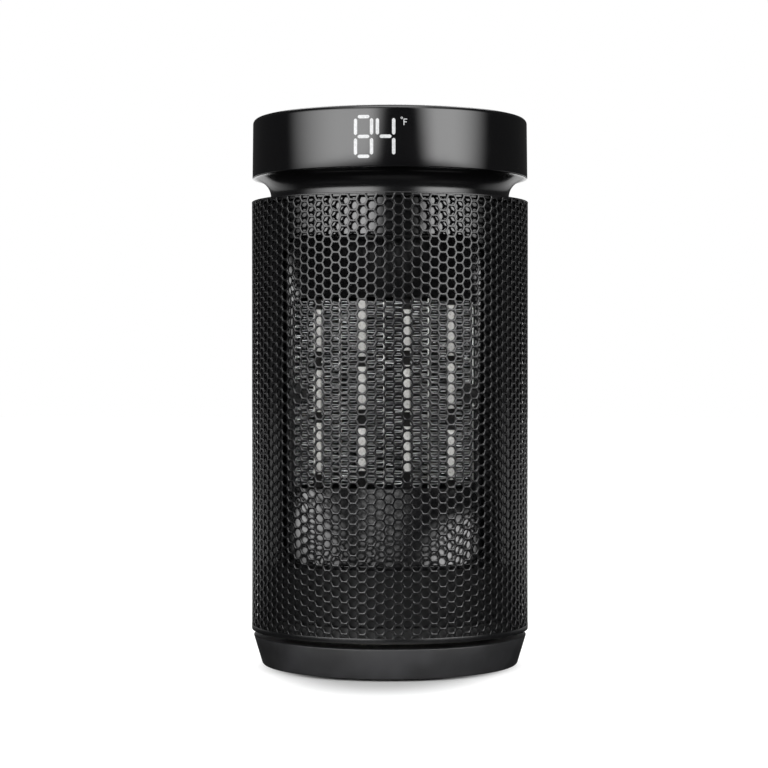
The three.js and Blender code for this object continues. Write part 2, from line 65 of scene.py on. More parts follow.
LOG = logging.getLogger("heater")
MM = 0.001
TAU = math.tau
WHITE = (1.0, 1.0, 1.0, 1.0)
ROUND_SIDES = 144
DOUBLES_MM = 0.002
WELD_MM = 0.01
WALL = 2.2
WINDOW_HALF = 59.0
WINDOW_LOW = 66.5
WINDOW_HIGH = 257.0
STONE_ROWS = (((118, 148), (154.5, 179), (190, 214.5)), ((120, 145), (156, 181), (187, 220.5)),
              ((119, 146), (154.5, 182), (190.5, 214.5)), ((115, 144), (156.5, 183.5), (187.5, 217)))


class Body(Enum):
    """The moving bodies of the frame that new pieces ride on, apart from the keys' own."""

    BASE = "base"
    HEAD = "head"
    FAN = "fan"


class Element(Enum):
    """What a selection in edit mode is made of."""

    VERTS = "VERT"
    EDGES = "EDGE"
    FACES = "FACE"


# ---------------------------------------------------------------- colour and nodes
def linear(code: str) -> tuple[float, float, float, float]:
    """Turns an sRGB hex colour into linear light.

    Args:
        code: The colour as six hex digits.

    Returns:
        Red, green, blue and an alpha of 1.
    """
    parts = [int(code[i:i + 2], 16) / 255 for i in (0, 2, 4)]
    flat = [p / 12.92 if p <= 0.04045 else ((p + 0.055) / 1.055) ** 2.4 for p in parts]
    return (flat[0], flat[1], flat[2], 1.0)


def add(tree: Tree, kind: str, settings: Optional[dict] = None, links: Optional[Links] = None) -> Node:
    """Adds one node with its settings and links.

    Args:
        tree: The node tree.
        kind: The node's type without the leading ShaderNode.
        settings: Socket values by socket name, node properties by name, or stops: a row of places and
            sRGB hex colours.
        links: Output sockets by the name of the input that they feed; a node stands for its first output.

    Returns:
        The new node.
    """
    node = tree.nodes.new("ShaderNode" + kind)
    for key, value in (settings or {}).items():
        if key == "stops":
            stop_row = node.color_ramp.elements
            while len(stop_row) < len(value):
                stop_row.new(0.5)
            for stop, (place, code) in zip(stop_row, value):
                stop.position = place
                stop.color = linear(code)
        elif key in node.inputs:
            node.inputs[key].default_value = value
        else:
            setattr(node, key, value)
    for key, source in (links or {}).items():
        tree.links.new(source.outputs[0] if isinstance(source, Node) else source, node.inputs[key])
    return node


def grains(size_mm: float, detail: float = 2.0) -> dict[str, float]:
    """Returns the settings of a noise whose grains are about size_mm across."""
    return {"Scale": 1 / (size_mm * MM), "Detail": detail}


def onto(low: float, high: float) -> dict[str, float]:
    """Returns the settings that spread the middle of a noise over the range from low to high."""
    return {"From Min": 0.3, "From Max": 0.7, "To Min": low, "To Max": high}


# ---------------------------------------------------------------- finishes
@dataclass(frozen=True)
class Finish:
    """A surface: what it is made of and how it was made."""

    name: str
    colour: str
    roughness: float
    ior: float = 1.5
    metallic: float = 0.0

    def make(self) -> bpy.types.Material:
        """Builds the material once.

        Returns:
            The new material, or the one that was built before.
        """
        known = bpy.data.materials.get(self.name)
        if known:
            return known
        material = bpy.data.materials.new(self.name)
        material.use_nodes = True
        tree = material.node_tree
        tree.nodes.clear()
        at = add(tree, "TexCoord").outputs["Object"]
        shader = add(tree, "BsdfPrincipled", self.constants(), self.texture(tree, at))
        add(tree, "OutputMaterial", links={"Surface": self.surface(tree, at, shader)})
        return material

    def constants(self) -> dict[str, object]:
        """Returns what is the same all over the surface; a metal keeps the usual index.

        Returns:
            Values by the name of the shader's socket.
        """
        values = {"Base Color": linear(self.colour), "Roughness": self.roughness, "Metallic": self.metallic}
        return values if self.metallic else {**values, "IOR": self.ior}

    def texture(self, tree: Tree, at: Socket) -> Links:
        """Returns what feeds the shader's sockets, laid out at a place; a plain finish has no pattern."""
        return {}

    def surface(self, tree: Tree, at: Socket, shader: Node) -> Node:
        """Returns what feeds the material's surface: as a rule, its shader."""
        return shader


@dataclass(frozen=True)
class MirrorMoulding(Finish):
    """Plastic from a polished mould: a clear reflection that wavers a little, with faint handling haze."""

    wave_mm: float = 14.0
    wave_depth_mm: float = 0.02
    haze_mm: float = 30.0
    haze: float = 0.05

    def texture(self, tree: Tree, at: Socket) -> Links:
        """Adds the slow waver and the haze.

        Args:
            tree: The material's nodes.
            at: The place on the piece.

        Returns:
            What feeds the roughness and the normal.
        """
        patches = add(tree, "TexNoise", grains(self.haze_mm, 4), {"Vector": at})
        hazy = add(tree, "MapRange", onto(self.roughness, self.roughness + self.haze), {"Value": patches})
        wave = add(tree, "TexNoise", grains(self.wave_mm), {"Vector": at})
        bump = add(tree, "Bump", {"Distance": self.wave_depth_mm * MM}, {"Height": wave})
        return {"Roughness": hazy, "Normal": bump}


@dataclass(frozen=True)
class SparkedMoulding(Finish):
    """Plastic from a spark-eroded mould: a fine even grain that scatters the light into a soft sheen.

    The real grain is about 0.1 mm, too fine to show, so it is drawn at grain_mm.
    """

    grain_mm: float = 0.45
    depth_mm: float = 0.02
    tone_mm: float = 22.0
    rub_mm: float = 35.0
    worn: str = "2a2a2c"

    def texture(self, tree: Tree, at: Socket) -> Links:
        """Adds the grain, a faint shift of tone and rubbed patches.

        Args:
            tree: The material's nodes.
            at: The place on the piece.

        Returns:
            What feeds the colour, the roughness and the normal.
        """
        cloud = add(tree, "TexNoise", grains(self.tone_mm, 5), {"Vector": at})
        tone = add(tree, "ValToRGB", {"stops": [(0.35, self.colour), (0.75, self.worn)]}, {"Fac": cloud})
        rubs = add(tree, "TexNoise", grains(self.rub_mm, 3), {"Vector": at})
        rubbed = add(tree, "MapRange", onto(self.roughness - 0.03, self.roughness + 0.05), {"Value": rubs})
        grain = add(tree, "TexNoise", grains(self.grain_mm), {"Vector": at})
        bump = add(tree, "Bump", {"Distance": self.depth_mm * MM}, {"Height": grain})
        return {"Base Color": tone, "Roughness": rubbed, "Normal": bump}


@dataclass(frozen=True)
class PowderEnamel(Finish):
    """Powder enamel baked on punched steel: glossy with a slight orange peel of about a millimetre."""

    peel_mm: float = 1.1
    peel_depth_mm: float = 0.012
    dust_mm: float = 26.0
    dust_and_shade: float = 0.08

    def texture(self, tree: Tree, at: Socket) -> Links:
        """Adds the orange peel and dust-dulled patches.

        Args:
            tree: The material's nodes.
            at: The place on the piece.

        Returns:
            What feeds the roughness and the normal.
        """
        patches = add(tree, "TexNoise", grains(self.dust_mm, 4), {"Vector": at})
        dulled = add(tree, "MapRange", onto(self.roughness, self.roughness + self.dust_and_shade), {"Value": patches})
        peel = add(tree, "TexNoise", grains(self.peel_mm), {"Vector": at})
        bump = add(tree, "Bump", {"Distance": self.peel_depth_mm * MM}, {"Height": peel})
        return {"Roughness": dulled, "Normal": bump}


@dataclass(frozen=True)
class RolledMetal(Finish):
    """Rolled or drawn metal: fine lines along the rolling direction stretch the highlights."""

    line_mm: float = 0.3
    line_depth_mm: float = 0.01
    along: tuple[float, float, float] = (1.0, 1.0, 0.08)
    oxide_mm: float = 6.0
    dull: str = "7a7c80"

    def texture(self, tree: Tree, at: Socket) -> Links:
        """Adds the rolling lines and oxide patches.

        Args:
            tree: The material's nodes.
            at: The place on the piece.

        Returns:
            What feeds the colour, the roughness and the normal.
        """
        stretched = add(tree, "Mapping", {"Scale": self.along}, {"Vector": at})
        lines = add(tree, "TexNoise", grains(self.line_mm, 3), {"Vector": stretched})
        oxide = add(tree, "TexNoise", grains(self.oxide_mm, 4), {"Vector": at})
        tone = add(tree, "ValToRGB", {"stops": [(0.3, self.dull), (0.6, self.colour)]}, {"Fac": oxide})
        brushed = add(tree, "MapRange", onto(self.roughness - 0.08, self.roughness + 0.12), {"Value": lines})
        bump = add(tree, "Bump", {"Distance": self.line_depth_mm * MM}, {"Height": lines})
        return {"Base Color": tone, "Roughness": brushed, "Normal": bump}


@dataclass(frozen=True)
class FoldedFoil(Finish):
    """Aluminium foil sheared and folded: the sheared edge keeps the bright metal, and painted shade darkens
    the colour and dulls the metal deeper into the folds.
    """

    dull: str = "9c9ea0"
    # Colour of the painted shade deep in the folds.
    dust_and_shade: str = "0d0d0c"
    patch_mm: float = 7.0
    crease_mm: float = 1.5
    crease_depth_mm: float = 0.03
    front_mm: float = -54.0
    lit_depth_mm: float = 0.6
    shade_full_mm: float = 1.5
    metal_in_fold_shade: float = 0.1

    def texture(self, tree: Tree, at: Socket) -> Links:
        """Adds the patches that handling leaves and the dust towards the depth.

        Args:
            tree: The material's nodes.
            Adds the patches that handling leaves and painted shade towards the depth of the folds.

        Returns:
            What feeds the colour, the metallic share and the normal.
        """
        handling = add(tree, "TexNoise", grains(self.patch_mm, 3), {"Vector": at})
        patches = add(tree, "ValToRGB", {"stops": [(0.35, self.dull), (0.6, self.colour)]}, {"Fac": handling})
        depth = add(tree, "SeparateXYZ", links={"Vector": at}).outputs["Y"]
        # Painted shade: behind the front edge the colour turns near black and the metal fades out.
        shade_start, shade_full = (self.front_mm + self.lit_depth_mm) * MM, (self.front_mm + self.shade_full_mm) * MM
        fold_shade = add(tree, "MapRange", {"From Min": shade_start, "From Max": shade_full}, {"Value": depth})
        tone = add(tree, "MixRGB", {"Color2": linear(self.dust_and_shade)}, {"Fac": fold_shade, "Color1": patches})
        metal = add(tree, "MapRange", {"To Min": 1.0, "To Max": self.metal_in_fold_shade}, {"Value": fold_shade})
        creases = add(tree, "TexNoise", grains(self.crease_mm, 3), {"Vector": at})
        bump = add(tree, "Bump", {"Distance": self.crease_depth_mm * MM}, {"Height": creases})
        return {"Base Color": tone, "Metallic": metal, "Normal": bump}


@dataclass(frozen=True)
class FiredStone(Finish):
    """Pressed and fired barium titanate: pale, matt and faintly speckled, with a silvered face."""

    speck: str = "8d8a80"
    chalk: str = "dcdbd8"
    speck_mm: float = 1.2
    grain_mm: float = 0.4
    depth_mm: float = 0.03

    def texture(self, tree: Tree, at: Socket) -> Links:
        """Adds specks, cloudy tone and a chalky grain.

        Args:
            tree: The material's nodes.
            at: The place on the piece.

        Returns:
            What feeds the colour and the normal.
        """
        specks = add(tree, "TexNoise", grains(self.speck_mm, 5), {"Vector": at})
        stops = [(0.28, self.speck), (0.45, self.colour), (0.8, self.chalk)]
        tone = add(tree, "ValToRGB", {"stops": stops}, {"Fac": specks})
        grain = add(tree, "TexNoise", grains(self.grain_mm, 3), {"Vector": at})
        bump = add(tree, "Bump", {"Distance": self.depth_mm * MM}, {"Height": grain})
        return {"Base Color": tone, "Normal": bump}


@dataclass(frozen=True)
class SolderMask(Finish):
    """Glass-epoxy board under green solder mask: the copper tracks show as paler lines."""

    second: str = "1c4d2b"
    track: str = "3f7a4a"
    track_mm: float = 2.4
    gap_mm: float = 0.25
    depth_mm: float = 0.03

    def texture(self, tree: Tree, at: Socket) -> Links:
        """Adds the tracks, which run in stepped rows.

        Args:
            tree: The material's nodes.
            at: The place on the piece.

        Returns:
            What feeds the colour and the normal.
        """
        rows = add(tree, "TexBrick", {
            "Scale": 1.0, "Brick Width": 4 * self.track_mm * MM, "Row Height": self.track_mm * MM,
            "Mortar Size": self.gap_mm * MM, "Mortar Smooth": 0.2, "Color1": linear(self.colour),
            "Color2": linear(self.second), "Mortar": linear(self.track)}, {"Vector": at})
        bump = add(tree, "Bump", {"Distance": self.depth_mm * MM}, {"Height": rows.outputs["Fac"]})
        return {"Base Color": rows, "Normal": bump}


@dataclass(frozen=True)
class LitWindow(Finish):
    """Clear windows in the smoked band with white light-emitting diodes behind them."""

    glow: float = 1.0
    film_mm: float = 0.9
    dim: str = "d4d6d7"
    bright: str = "f6f7f7"

    def constants(self) -> dict[str, object]:
        """Adds the strength of the light."""
        return {**super().constants(), "Emission Strength": self.glow}

    def texture(self, tree: Tree, at: Socket) -> Links:
        """Adds the glow, mottled a little by the diffuser film.

        Args:
            tree: The material's nodes.
            at: The place on the piece.

        Returns:
            What feeds the colour of the light.
        """
        mottle = add(tree, "TexNoise", grains(self.film_mm), {"Vector": at})
        stops = [(0.3, self.dim), (0.66, self.bright)]
        return {"Emission Color": add(tree, "ValToRGB", {"stops": stops}, {"Fac": mottle})}


@dataclass(frozen=True)
class StudioPaper(Finish):
    """White paper floor whose painted glow grows away from the heater, so that it runs into the white
    surround.

    In reflections its colour is painted: pale near the heater, near black farther out, mid-grey behind it.
    """

    shade_reach: float = 0.2
    near: float = 0.03
    ahead: float = 0.15
    oval: tuple[float, float, float] = (1.5, 0.8, 1.0)
    # Painted light: the floor glows more the farther it is from the heater, up to these strengths.
    glows: tuple[tuple[float, float, float], ...] = ((0.066, 0.13, 0.75), (0.12, 0.7, 0.6))
    # Painted shade in reflections: pale grey near the heater, near black farther out.
    painted_reflection_stops: tuple[tuple[float, str], ...] = ((0.0, "b8b8b8"), (0.55, "4a4a4a"), (1.0, "1c1c1c"))
    # Painted light in reflections: mid-grey behind the heater.
    behind: str = "a8a8a8"

    def constants(self) -> dict[str, object]:
        """Adds the colour of the light."""
        return {**super().constants(), "Emission Color": WHITE}

    def texture(self, tree: Tree, at: Socket) -> Links:
        """Adds the glow that grows outwards.

        Args:
            tree: The material's nodes.
            at: The place on the floor.

        Returns:
            What feeds the strength of the light.
        """
        squeezed = add(tree, "Mapping", {"Scale": self.oval}, {"Vector": at})
        reach = add(tree, "VectorMath", {"operation": "LENGTH"}, {0: squeezed}).outputs["Value"]
        glow = None
        for start, full, strength in self.glows:
            share = add(tree, "MapRange", {"interpolation_type": "SMOOTHSTEP", "From Min": start,
                                           "From Max": full, "To Max": strength}, {"Value": reach})
            glow = share if glow is None else add(tree, "Math", links={0: glow, 1: share})
        return {"Emission Strength": glow}

    def surface(self, tree: Tree, at: Socket, shader: Node) -> Node:
        """Mixes in the painted floor colour that only reflections see.

        Args:
            tree: The material's nodes.
            at: The place on the floor.
            shader: What the camera sees.

        Returns:
            The mixed surface.
        """
        shifted = add(tree, "VectorMath", {"operation": "ADD"}, {0: at})
        shifted.inputs[1].default_value = (0, self.ahead, 0)
        away = add(tree, "VectorMath", {"operation": "LENGTH"}, {0: shifted}).outputs["Value"]
        share = add(tree, "MapRange", {"From Min": self.near, "From Max": self.shade_reach}, {"Value": away})
        tone = add(tree, "ValToRGB", {"stops": self.painted_reflection_stops}, {"Fac": share})
        depth = add(tree, "SeparateXYZ", links={"Vector": at}).outputs["Y"]
        rear = add(tree, "MapRange", {"From Min": 0.1, "From Max": 0.5}, {"Value": depth})
        paper = add(tree, "MixRGB", {"Color2": linear(self.behind)}, {"Fac": rear, "Color1": tone})
        # Painted glow in reflections far behind the heater.
        reflected_rear_glow = add(tree, "MapRange", {"From Min": 0.4, "From Max": 1.2, "To Max": 0.4}, {"Value": depth})
        mirrored = add(tree, "BsdfPrincipled", {"Roughness": 1.0, "IOR": 1.0, "Emission Color": WHITE},
                       {"Base Color": paper, "Emission Strength": reflected_rear_glow})
        seen = add(tree, "LightPath").outputs["Is Camera Ray"]
        return add(tree, "MixShader", links={0: seen, 1: mirrored, 2: shader})


# Polished moulds: the softboxes show in them as clear bright bands, and the rest stays nearly black.
CAP_GLOSS = MirrorMoulding("Smoked ABS, polished mould", "0a0a0b", 0.085, 1.49)
NECK_GLOSS = MirrorMoulding("Black ABS, polished mould", "0b0b0c", 0.16, 1.49, wave_mm=9)
HOUSING_GLOSS = MirrorMoulding("Black PBT, glossy mould", "101011", 0.12, 1.58, haze=0.03, wave_mm=16)
IR_DARK = MirrorMoulding("Infra-red window, polished", "12060a", 0.08, 1.49)
# The pits of the eroded wall swallow most of its shine, so it has a lower index than the glossy one.
HOUSING_MATT = SparkedMoulding(
    "Black PBT, spark-eroded mould", "101011", 0.5, 1.32, grain_mm=0.6, worn="131314")
# Satin moulds: a wide soft sheen on the base, the top and the keys, with slightly greyer rubbed patches.
BASE_SATIN = SparkedMoulding("Black ABS, satin mould", "161617", 0.42, 1.52)
TOP_SATIN = SparkedMoulding("Black ABS, fine satin mould", "131314", 0.36, 1.52, worn="1d1d1f")
KEY_SATIN = SparkedMoulding("Black ABS keys, satin mould", "1b1b1d", 0.4, 1.52, worn="242426")
# Matt moulds and rubber: hardly any sheen, so the tray and the inner parts stay dark behind the mesh.
TRAY_BLACK = SparkedMoulding("Black PBT, matt mould", "09090a", 0.6, 1.5, worn="0d0d0e")
INNER_DARK = SparkedMoulding("Glass-filled PBT, matt mould", "151516", 0.5, 1.56, grain_mm=0.6)
FAN_GREY = SparkedMoulding("Glass-filled nylon fan", "141415", 0.5, 1.53, grain_mm=0.8, worn="1c1c1e")
FRAME_BLACK = SparkedMoulding("Black PPS element frame", "070708", 0.65, 1.5, grain_mm=0.8, worn="0d0d0e")
CARRIER = SparkedMoulding("Polyimide-wrapped carrier", "080707", 0.7, 1.5, grain_mm=1.0, worn="0f0d0c")
RUBBER = SparkedMoulding("Moulded rubber", "0e0e0e", 0.8, 1.52, grain_mm=0.7, worn="191919")
# Undyed nylon: a waxy off-white.
NYLON = SparkedMoulding("Natural nylon", "d3cfc2", 0.45, 1.53, worn="c4bfae")
# Pad-printed ink: an even pale grey without shine.
INK = SparkedMoulding("Pale pad-printed ink", "a9abad", 0.5, 1.5, grain_mm=0.3, worn="9b9d9f")
# Baked enamel: small sharp lights on each rounded web of the mesh.
ENAMEL = PowderEnamel("Black powder enamel on steel", "0c0c0d", 0.2, 1.5)
# Metals: drawn-out grey lights on zinc, a bright line on each strip, a dull brown shine on the brass.
ZINC = RolledMetal("Zinc-plated steel", "b4b6ba", 0.34, metallic=1.0)
STRIP = RolledMetal("Rolled contact strip", "f0f0ee", 0.42, metallic=1.0, dull="c6c6c4")
BRASS = RolledMetal("Turned brass, blackened", "3a352c", 0.45, metallic=1.0, dull="262320")
# Folded foil: bright zigzag edges over gaps darkened by painted shade.
FIN = FoldedFoil("Folded aluminium foil", "f4f5f6", 0.52, metallic=1.0)
# Fired stone: pale chalky blocks that catch the light evenly.
STONE = FiredStone("Fired barium titanate", "c6c5c2", 0.55, 1.6)
# Solder mask: deep green with paler stepped tracks.
BOARD = SolderMask("Green solder mask", "123a1f", 0.35, 1.5)
# Lit windows: soft white strokes that need no other light.
LIT = LitWindow("Lit display window", "3a3b3c", 0.3, 1.49, glow=0.82)

SLOT_FINISH: dict[str, Finish] = {
    "satin_base": BASE_SATIN, "satin_top": TOP_SATIN, "key_plastic": KEY_SATIN, "tray_plastic": TRAY_BLACK,
    "sleeve_enamel": ENAMEL, "cap_gloss": CAP_GLOSS, "neck_gloss": NECK_GLOSS,
    "housing_gloss": HOUSING_GLOSS, "dark_plastic": INNER_DARK, "fan_plastic": FAN_GREY,
    "ir_window": IR_DARK, "rubber": RUBBER, "nylon": NYLON, "steel": ZINC, "strip_steel": STRIP,
    "fin_aluminium": FIN, "ptc_ceramic": STONE, "circuit_board": BOARD, "brass": BRASS,
}


# ---------------------------------------------------------------- the bench
def rest_tools() -> None:
    """Leaves edit mode and deselects everything."""
    if bpy.context.object and bpy.context.object.mode != "OBJECT":
        bpy.ops.object.mode_set(mode="OBJECT")
    bpy.ops.object.select_all(action="DESELECT")


def take(piece: Piece) -> None:
    """Makes a piece the only selected and the active one.

    Args:
        piece: The piece.
    """
    rest_tools()
    piece.select_set(True)
    bpy.context.view_layer.objects.active = piece


def opened(piece: Piece) -> None:
    """Opens a piece in edit mode, all selected.

    Args:
        piece: The piece.
    """
    take(piece)
    bpy.ops.object.mode_set(mode="EDIT")
    bpy.ops.mesh.select_all(action="SELECT")


def started(name: str) -> Piece:
    """Names the primitive that was just added and opens it in edit mode, all selected.

    Args:
        name: The piece's name.

    Returns:
        The piece.
    """
    piece = bpy.context.object
    piece.name = name
    piece.data.name = name
    bpy.ops.object.mode_set(mode="EDIT")
    bpy.ops.mesh.select_mode(type=Element.VERTS.value)
    bpy.ops.mesh.select_all(action="SELECT")
    return piece


def pick(piece: Piece, kind: Element, test: Callable[[object], bool]) -> None:
    """Selects, in edit mode, only the elements that pass a test.

    Args:
        piece: The piece in edit mode.
        kind: What to select.
        test: Takes a vertex, edge or face and says whether it is wanted.
    """
    bpy.ops.mesh.select_mode(type=kind.value)
    bpy.ops.mesh.select_all(action="DESELECT")
    mesh = bmesh.from_edit_mesh(piece.data)
    rows = {Element.VERTS: mesh.verts, Element.EDGES: mesh.edges, Element.FACES: mesh.faces}[kind]
    for element in [row for row in rows if test(row)]:
        element.select_set(True)
    mesh.select_flush_mode()
    bmesh.update_edit_mesh(piece.data)


def middle(element: object) -> Vector:
    """Returns the middle of an edge or a face, in mm."""
    points = [v.co for v in element.verts]
    return sum(points, Vector()) / len(points) / MM


def drawn_out(x: float, y: float, z: float) -> None:
    """Extrudes what is selected in the open piece by x, y and z in mm."""
    bpy.ops.mesh.extrude_region_move(TRANSFORM_OT_translate={"value": (x * MM, y * MM, z * MM)})


def slit(point: Sequence[float], normal: Sequence[float], **settings: bool) -> None:
    """Cuts the whole open piece along a plane through a point in metres."""
    bpy.ops.mesh.select_all(action="SELECT")
    bpy.ops.mesh.bisect(plane_co=point, plane_no=normal, **settings)


def shaded(piece: Piece, smooth_deg: float) -> None:
    """Shades a piece smooth, apart from edges sharper than an angle."""
    take(piece)
    bpy.ops.object.shade_smooth_by_angle(angle=math.radians(smooth_deg))


def tidied(piece: Piece, smooth_deg: float = 35.0) -> Piece:
    """Merges doubles, turns the faces outwards and shades the piece.

    Args:
        piece: The piece, in either mode.
        smooth_deg: Edges flatter than this angle are shaded smooth.

    Returns:
        The piece, in object mode.
    """
    opened(piece)
    bpy.ops.mesh.remove_doubles(threshold=DOUBLES_MM * MM)
    bpy.ops.mesh.normals_make_consistent(inside=False)
    mesh = bmesh.from_edit_mesh(piece.data)
    if all(edge.is_manifold for edge in mesh.edges) and mesh.calc_volume(signed=True) < 0:
        bpy.ops.mesh.flip_normals()
    shaded(piece, smooth_deg)
    return piece


def modified(piece: Piece, kind: str, **settings: object) -> Piece:
    """Adds a modifier with its settings and applies it.

    Args:
        piece: The piece.
        kind: The modifier's type.
        settings: The modifier's properties.

    Returns:
        The piece.
    """
    take(piece)
    modifier = piece.modifiers.new(kind.title(), kind)
    for key, value in settings.items():
        setattr(modifier, key, value)
    bpy.ops.object.modifier_apply(modifier=modifier.name)
    return piece


def rounded(piece: Piece, width_mm: float, segments: int) -> None:
    """Rounds the sharp edges of a piece."""
    modified(piece, "BEVEL", width=width_mm * MM, segments=segments, limit_method="ANGLE",
             angle_limit=math.radians(50))


def shift(x: float, y: float, z: float) -> Matrix:
    """Returns a move by x, y and z in mm."""
    return Matrix.Translation((x * MM, y * MM, z * MM))


def quarter(axis: str, turns: int = 1) -> Matrix:
    """Returns a turn about an axis by a number of right angles."""
    return Matrix.Rotation(turns * math.pi / 2, 4, axis)


def moved(piece: Piece, place: Matrix) -> Piece:
    """Moves a piece's mesh and leaves its object at the origin.

    Args:
        piece: The piece.
        place: How its mesh is moved.

    Returns:
        The piece.
    """
    piece.data.transform(place)
    piece.data.update()
    return piece


def copied(piece: Piece, name: str, place: Matrix) -> Piece:
    """Copies a piece, with its own mesh, to another place.

    Args:
        piece: The piece.
        name: The copy's name.
        place: How the copy is moved.

    Returns:
        The copy.
    """
    twin = piece.copy()
    twin.data = piece.data.copy()
    twin.name = name
    bpy.context.scene.collection.objects.link(twin)
    return moved(twin, place)


def joined(name: str, pieces: Iterable[Piece]) -> Piece:
    """Joins several pieces into one, keeping each one's material.

    Args:
        name: The whole piece's name.
        pieces: The pieces.

    Returns:
        The whole piece.
    """
    rows = list(pieces)
    rest_tools()
    for piece in rows:
        piece.select_set(True)
    bpy.context.view_layer.objects.active = rows[0]
    bpy.ops.object.join()
    rows[0].name = name
    return rows[0]


def cut(piece: Piece, tool: Piece) -> None:
    """Cuts one piece out of another and throws the tool away."""
    modified(piece, "BOOLEAN", operation="DIFFERENCE", solver="EXACT", object=tool)
    bpy.data.objects.remove(tool)


def dressed(piece: Piece, finish: Finish) -> Piece:
    """Gives a piece one finish all over.

    Args:
        piece: The piece.
        finish: What it is made of.

    Returns:
        The piece.
    """
    piece.data.materials.clear()
    piece.data.materials.append(finish.make())
    return piece


def mounted(piece: Piece, body: Union[Body, str], slot: str, *nodes: str) -> None:
    """Lets a piece ride on a body and hides the nodes that it stands for.

    Args:
        piece: The finished piece.
        body: The body, or a body's name.
        slot: The piece's material slot, which is not used.
        nodes: The CAD nodes that the piece replaces.
    """
    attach(piece, body.value if isinstance(body, Body) else body)
    if nodes:
        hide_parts(*nodes)
    LOG.info("%s: %d faces", piece.name, len(piece.data.polygons))


def span(node: str) -> tuple[Vector, Vector]:
    """Returns a CAD node's lowest and highest corner in mm."""
    low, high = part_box(node)
    return low / MM, high / MM


def centre_of(node: str) -> Vector:
    """Returns the middle of a CAD node's box in mm."""
    return sum(span(node), Vector()) / 2


# ---------------------------------------------------------------- plain shapes
def arc(centre: Pair, radius: float, start: float, end: float, steps: int) -> Profile:
    """Draws a round stretch of a profile.

    Args:
        centre: Its middle, in mm.
        radius: Its radius, in mm.
        start: Its first angle, in degrees.
        end: Its last angle, in degrees.
        steps: Its number of steps.

    Returns:
        Its points.
    """
    turns = [math.radians(start + (end - start) * i / steps) for i in range(steps + 1)]
    return [(centre[0] + radius * math.cos(a), centre[1] + radius * math.sin(a)) for a in turns]


def turned(name: str, profile: Profile, sides: int = ROUND_SIDES) -> Piece:
    """Turns a closed profile about the Z axis.

    Args:
        name: The piece's name.
        profile: Radius and height of each point, in mm. It starts and ends on the axis, or it is a ring's.
        sides: Steps of the turn.

    Returns:
        The turned piece.
    """
    rest_tools()
    bpy.ops.mesh.primitive_plane_add(size=MM)
    piece = started(name)
    bpy.ops.mesh.merge(type="CENTER")
    bpy.ops.transform.translate(value=(profile[0][0] * MM, 0, profile[0][1] * MM))
    points = profile if min(r for r, _ in profile) < 1e-6 else profile + profile[:1]
    for (r0, z0), (r1, z1) in zip(points, points[1:]):
        stretch = ((r1 - r0) * MM, 0, (z1 - z0) * MM)
        bpy.ops.mesh.extrude_vertices_move(TRANSFORM_OT_translate={"value": stretch})
    bpy.ops.mesh.select_all(action="SELECT")
    bpy.ops.mesh.spin(steps=sides, angle=TAU, center=(0, 0, 0), axis=(0, 0, 1), use_auto_merge=True)
    return tidied(piece)


def peg(name: str, radius: float, low: float, high: float) -> Piece:
    """Turns a plain round tool that reaches from low to high, in mm."""
    return turned(name, [(0, low), (radius, low), (radius, high), (0, high)], 32)


def box(name: str, low: Sequence[float], high: Sequence[float], edge: float, segments: int = 2) -> Piece:
    """Makes a block with round edges.

    Args:
        name: The piece's name.
        low: Lowest corner, in mm.
        high: Highest corner, in mm.
        edge: Radius of the edges, in mm.
        segments: Steps of the round edges.

    Returns:
        The block.
    """
    rest_tools()
    bpy.ops.mesh.primitive_cube_add(size=1)
    piece = started(name)
    bpy.ops.transform.resize(value=(Vector(high) - Vector(low)) * MM)
    bpy.ops.transform.translate(value=(Vector(high) + Vector(low)) / 2 * MM)
    bpy.ops.mesh.bevel(offset=edge * MM, segments=segments, affect="EDGES")
    return tidied(piece)


def plate(name: str, half: Pair, y: Pair, z: Pair, corner: float, rail: float = 0.0) -> Piece:
    """Makes an upright rectangular plate with round corners, or a frame of one.

    Args:
        name: The piece's name.
        half: Lowest and highest x, in mm.
        y: Front and back, in mm.
        z: Bottom and top, in mm.
        corner: Radius of the corners, in mm.
        rail: Width of the frame, in mm; 0 makes a whole plate.

    Returns:
        The plate.
    """
    rest_tools()
    bpy.ops.mesh.primitive_plane_add(size=1, rotation=(math.pi / 2, 0, 0))
    piece = started(name)
    bpy.ops.transform.resize(value=((half[1] - half[0]) * MM, 1, (z[1] - z[0]) * MM))
    bpy.ops.transform.translate(value=(sum(half) / 2 * MM, y[0] * MM, sum(z) / 2 * MM))
    bpy.ops.mesh.bevel(offset=corner * MM, segments=6, affect="VERTICES")
    if rail:
        bpy.ops.mesh.inset(thickness=rail * MM)
        bpy.ops.mesh.delete(type="FACE")
        bpy.ops.mesh.select_all(action="SELECT")
    drawn_out(0, y[1] - y[0], 0)
    bpy.ops.object.mode_set(mode="OBJECT")
    bpy.ops.object.transform_apply(location=True, rotation=True, scale=True)
    return tidied(piece)


def wrapped(piece: Piece, radius_at: Callable[[np.ndarray], np.ndarray], unit_r: float) -> None:
    """Wraps a flat piece round the Z axis, its middle towards -Y.

    Args:
        piece: A piece whose x runs along the round, y goes inwards from the skin and z is up.
        radius_at: Gives the skin's radius in mm at each height in mm.
        unit_r: Radius in mm at which x keeps its length.
    """
    flat = np.empty(len(piece.data.vertices) * 3)
    piece.data.vertices.foreach_get("co", flat)
    x, y, z = flat.reshape(-1, 3).T / MM
    radius = radius_at(z) - y
    turn = x / unit_r
    round_points = np.stack([radius * np.sin(turn), -radius * np.cos(turn), z], 1) * MM
    piece.data.vertices.foreach_set("co", round_points.ravel())
    piece.data.update()


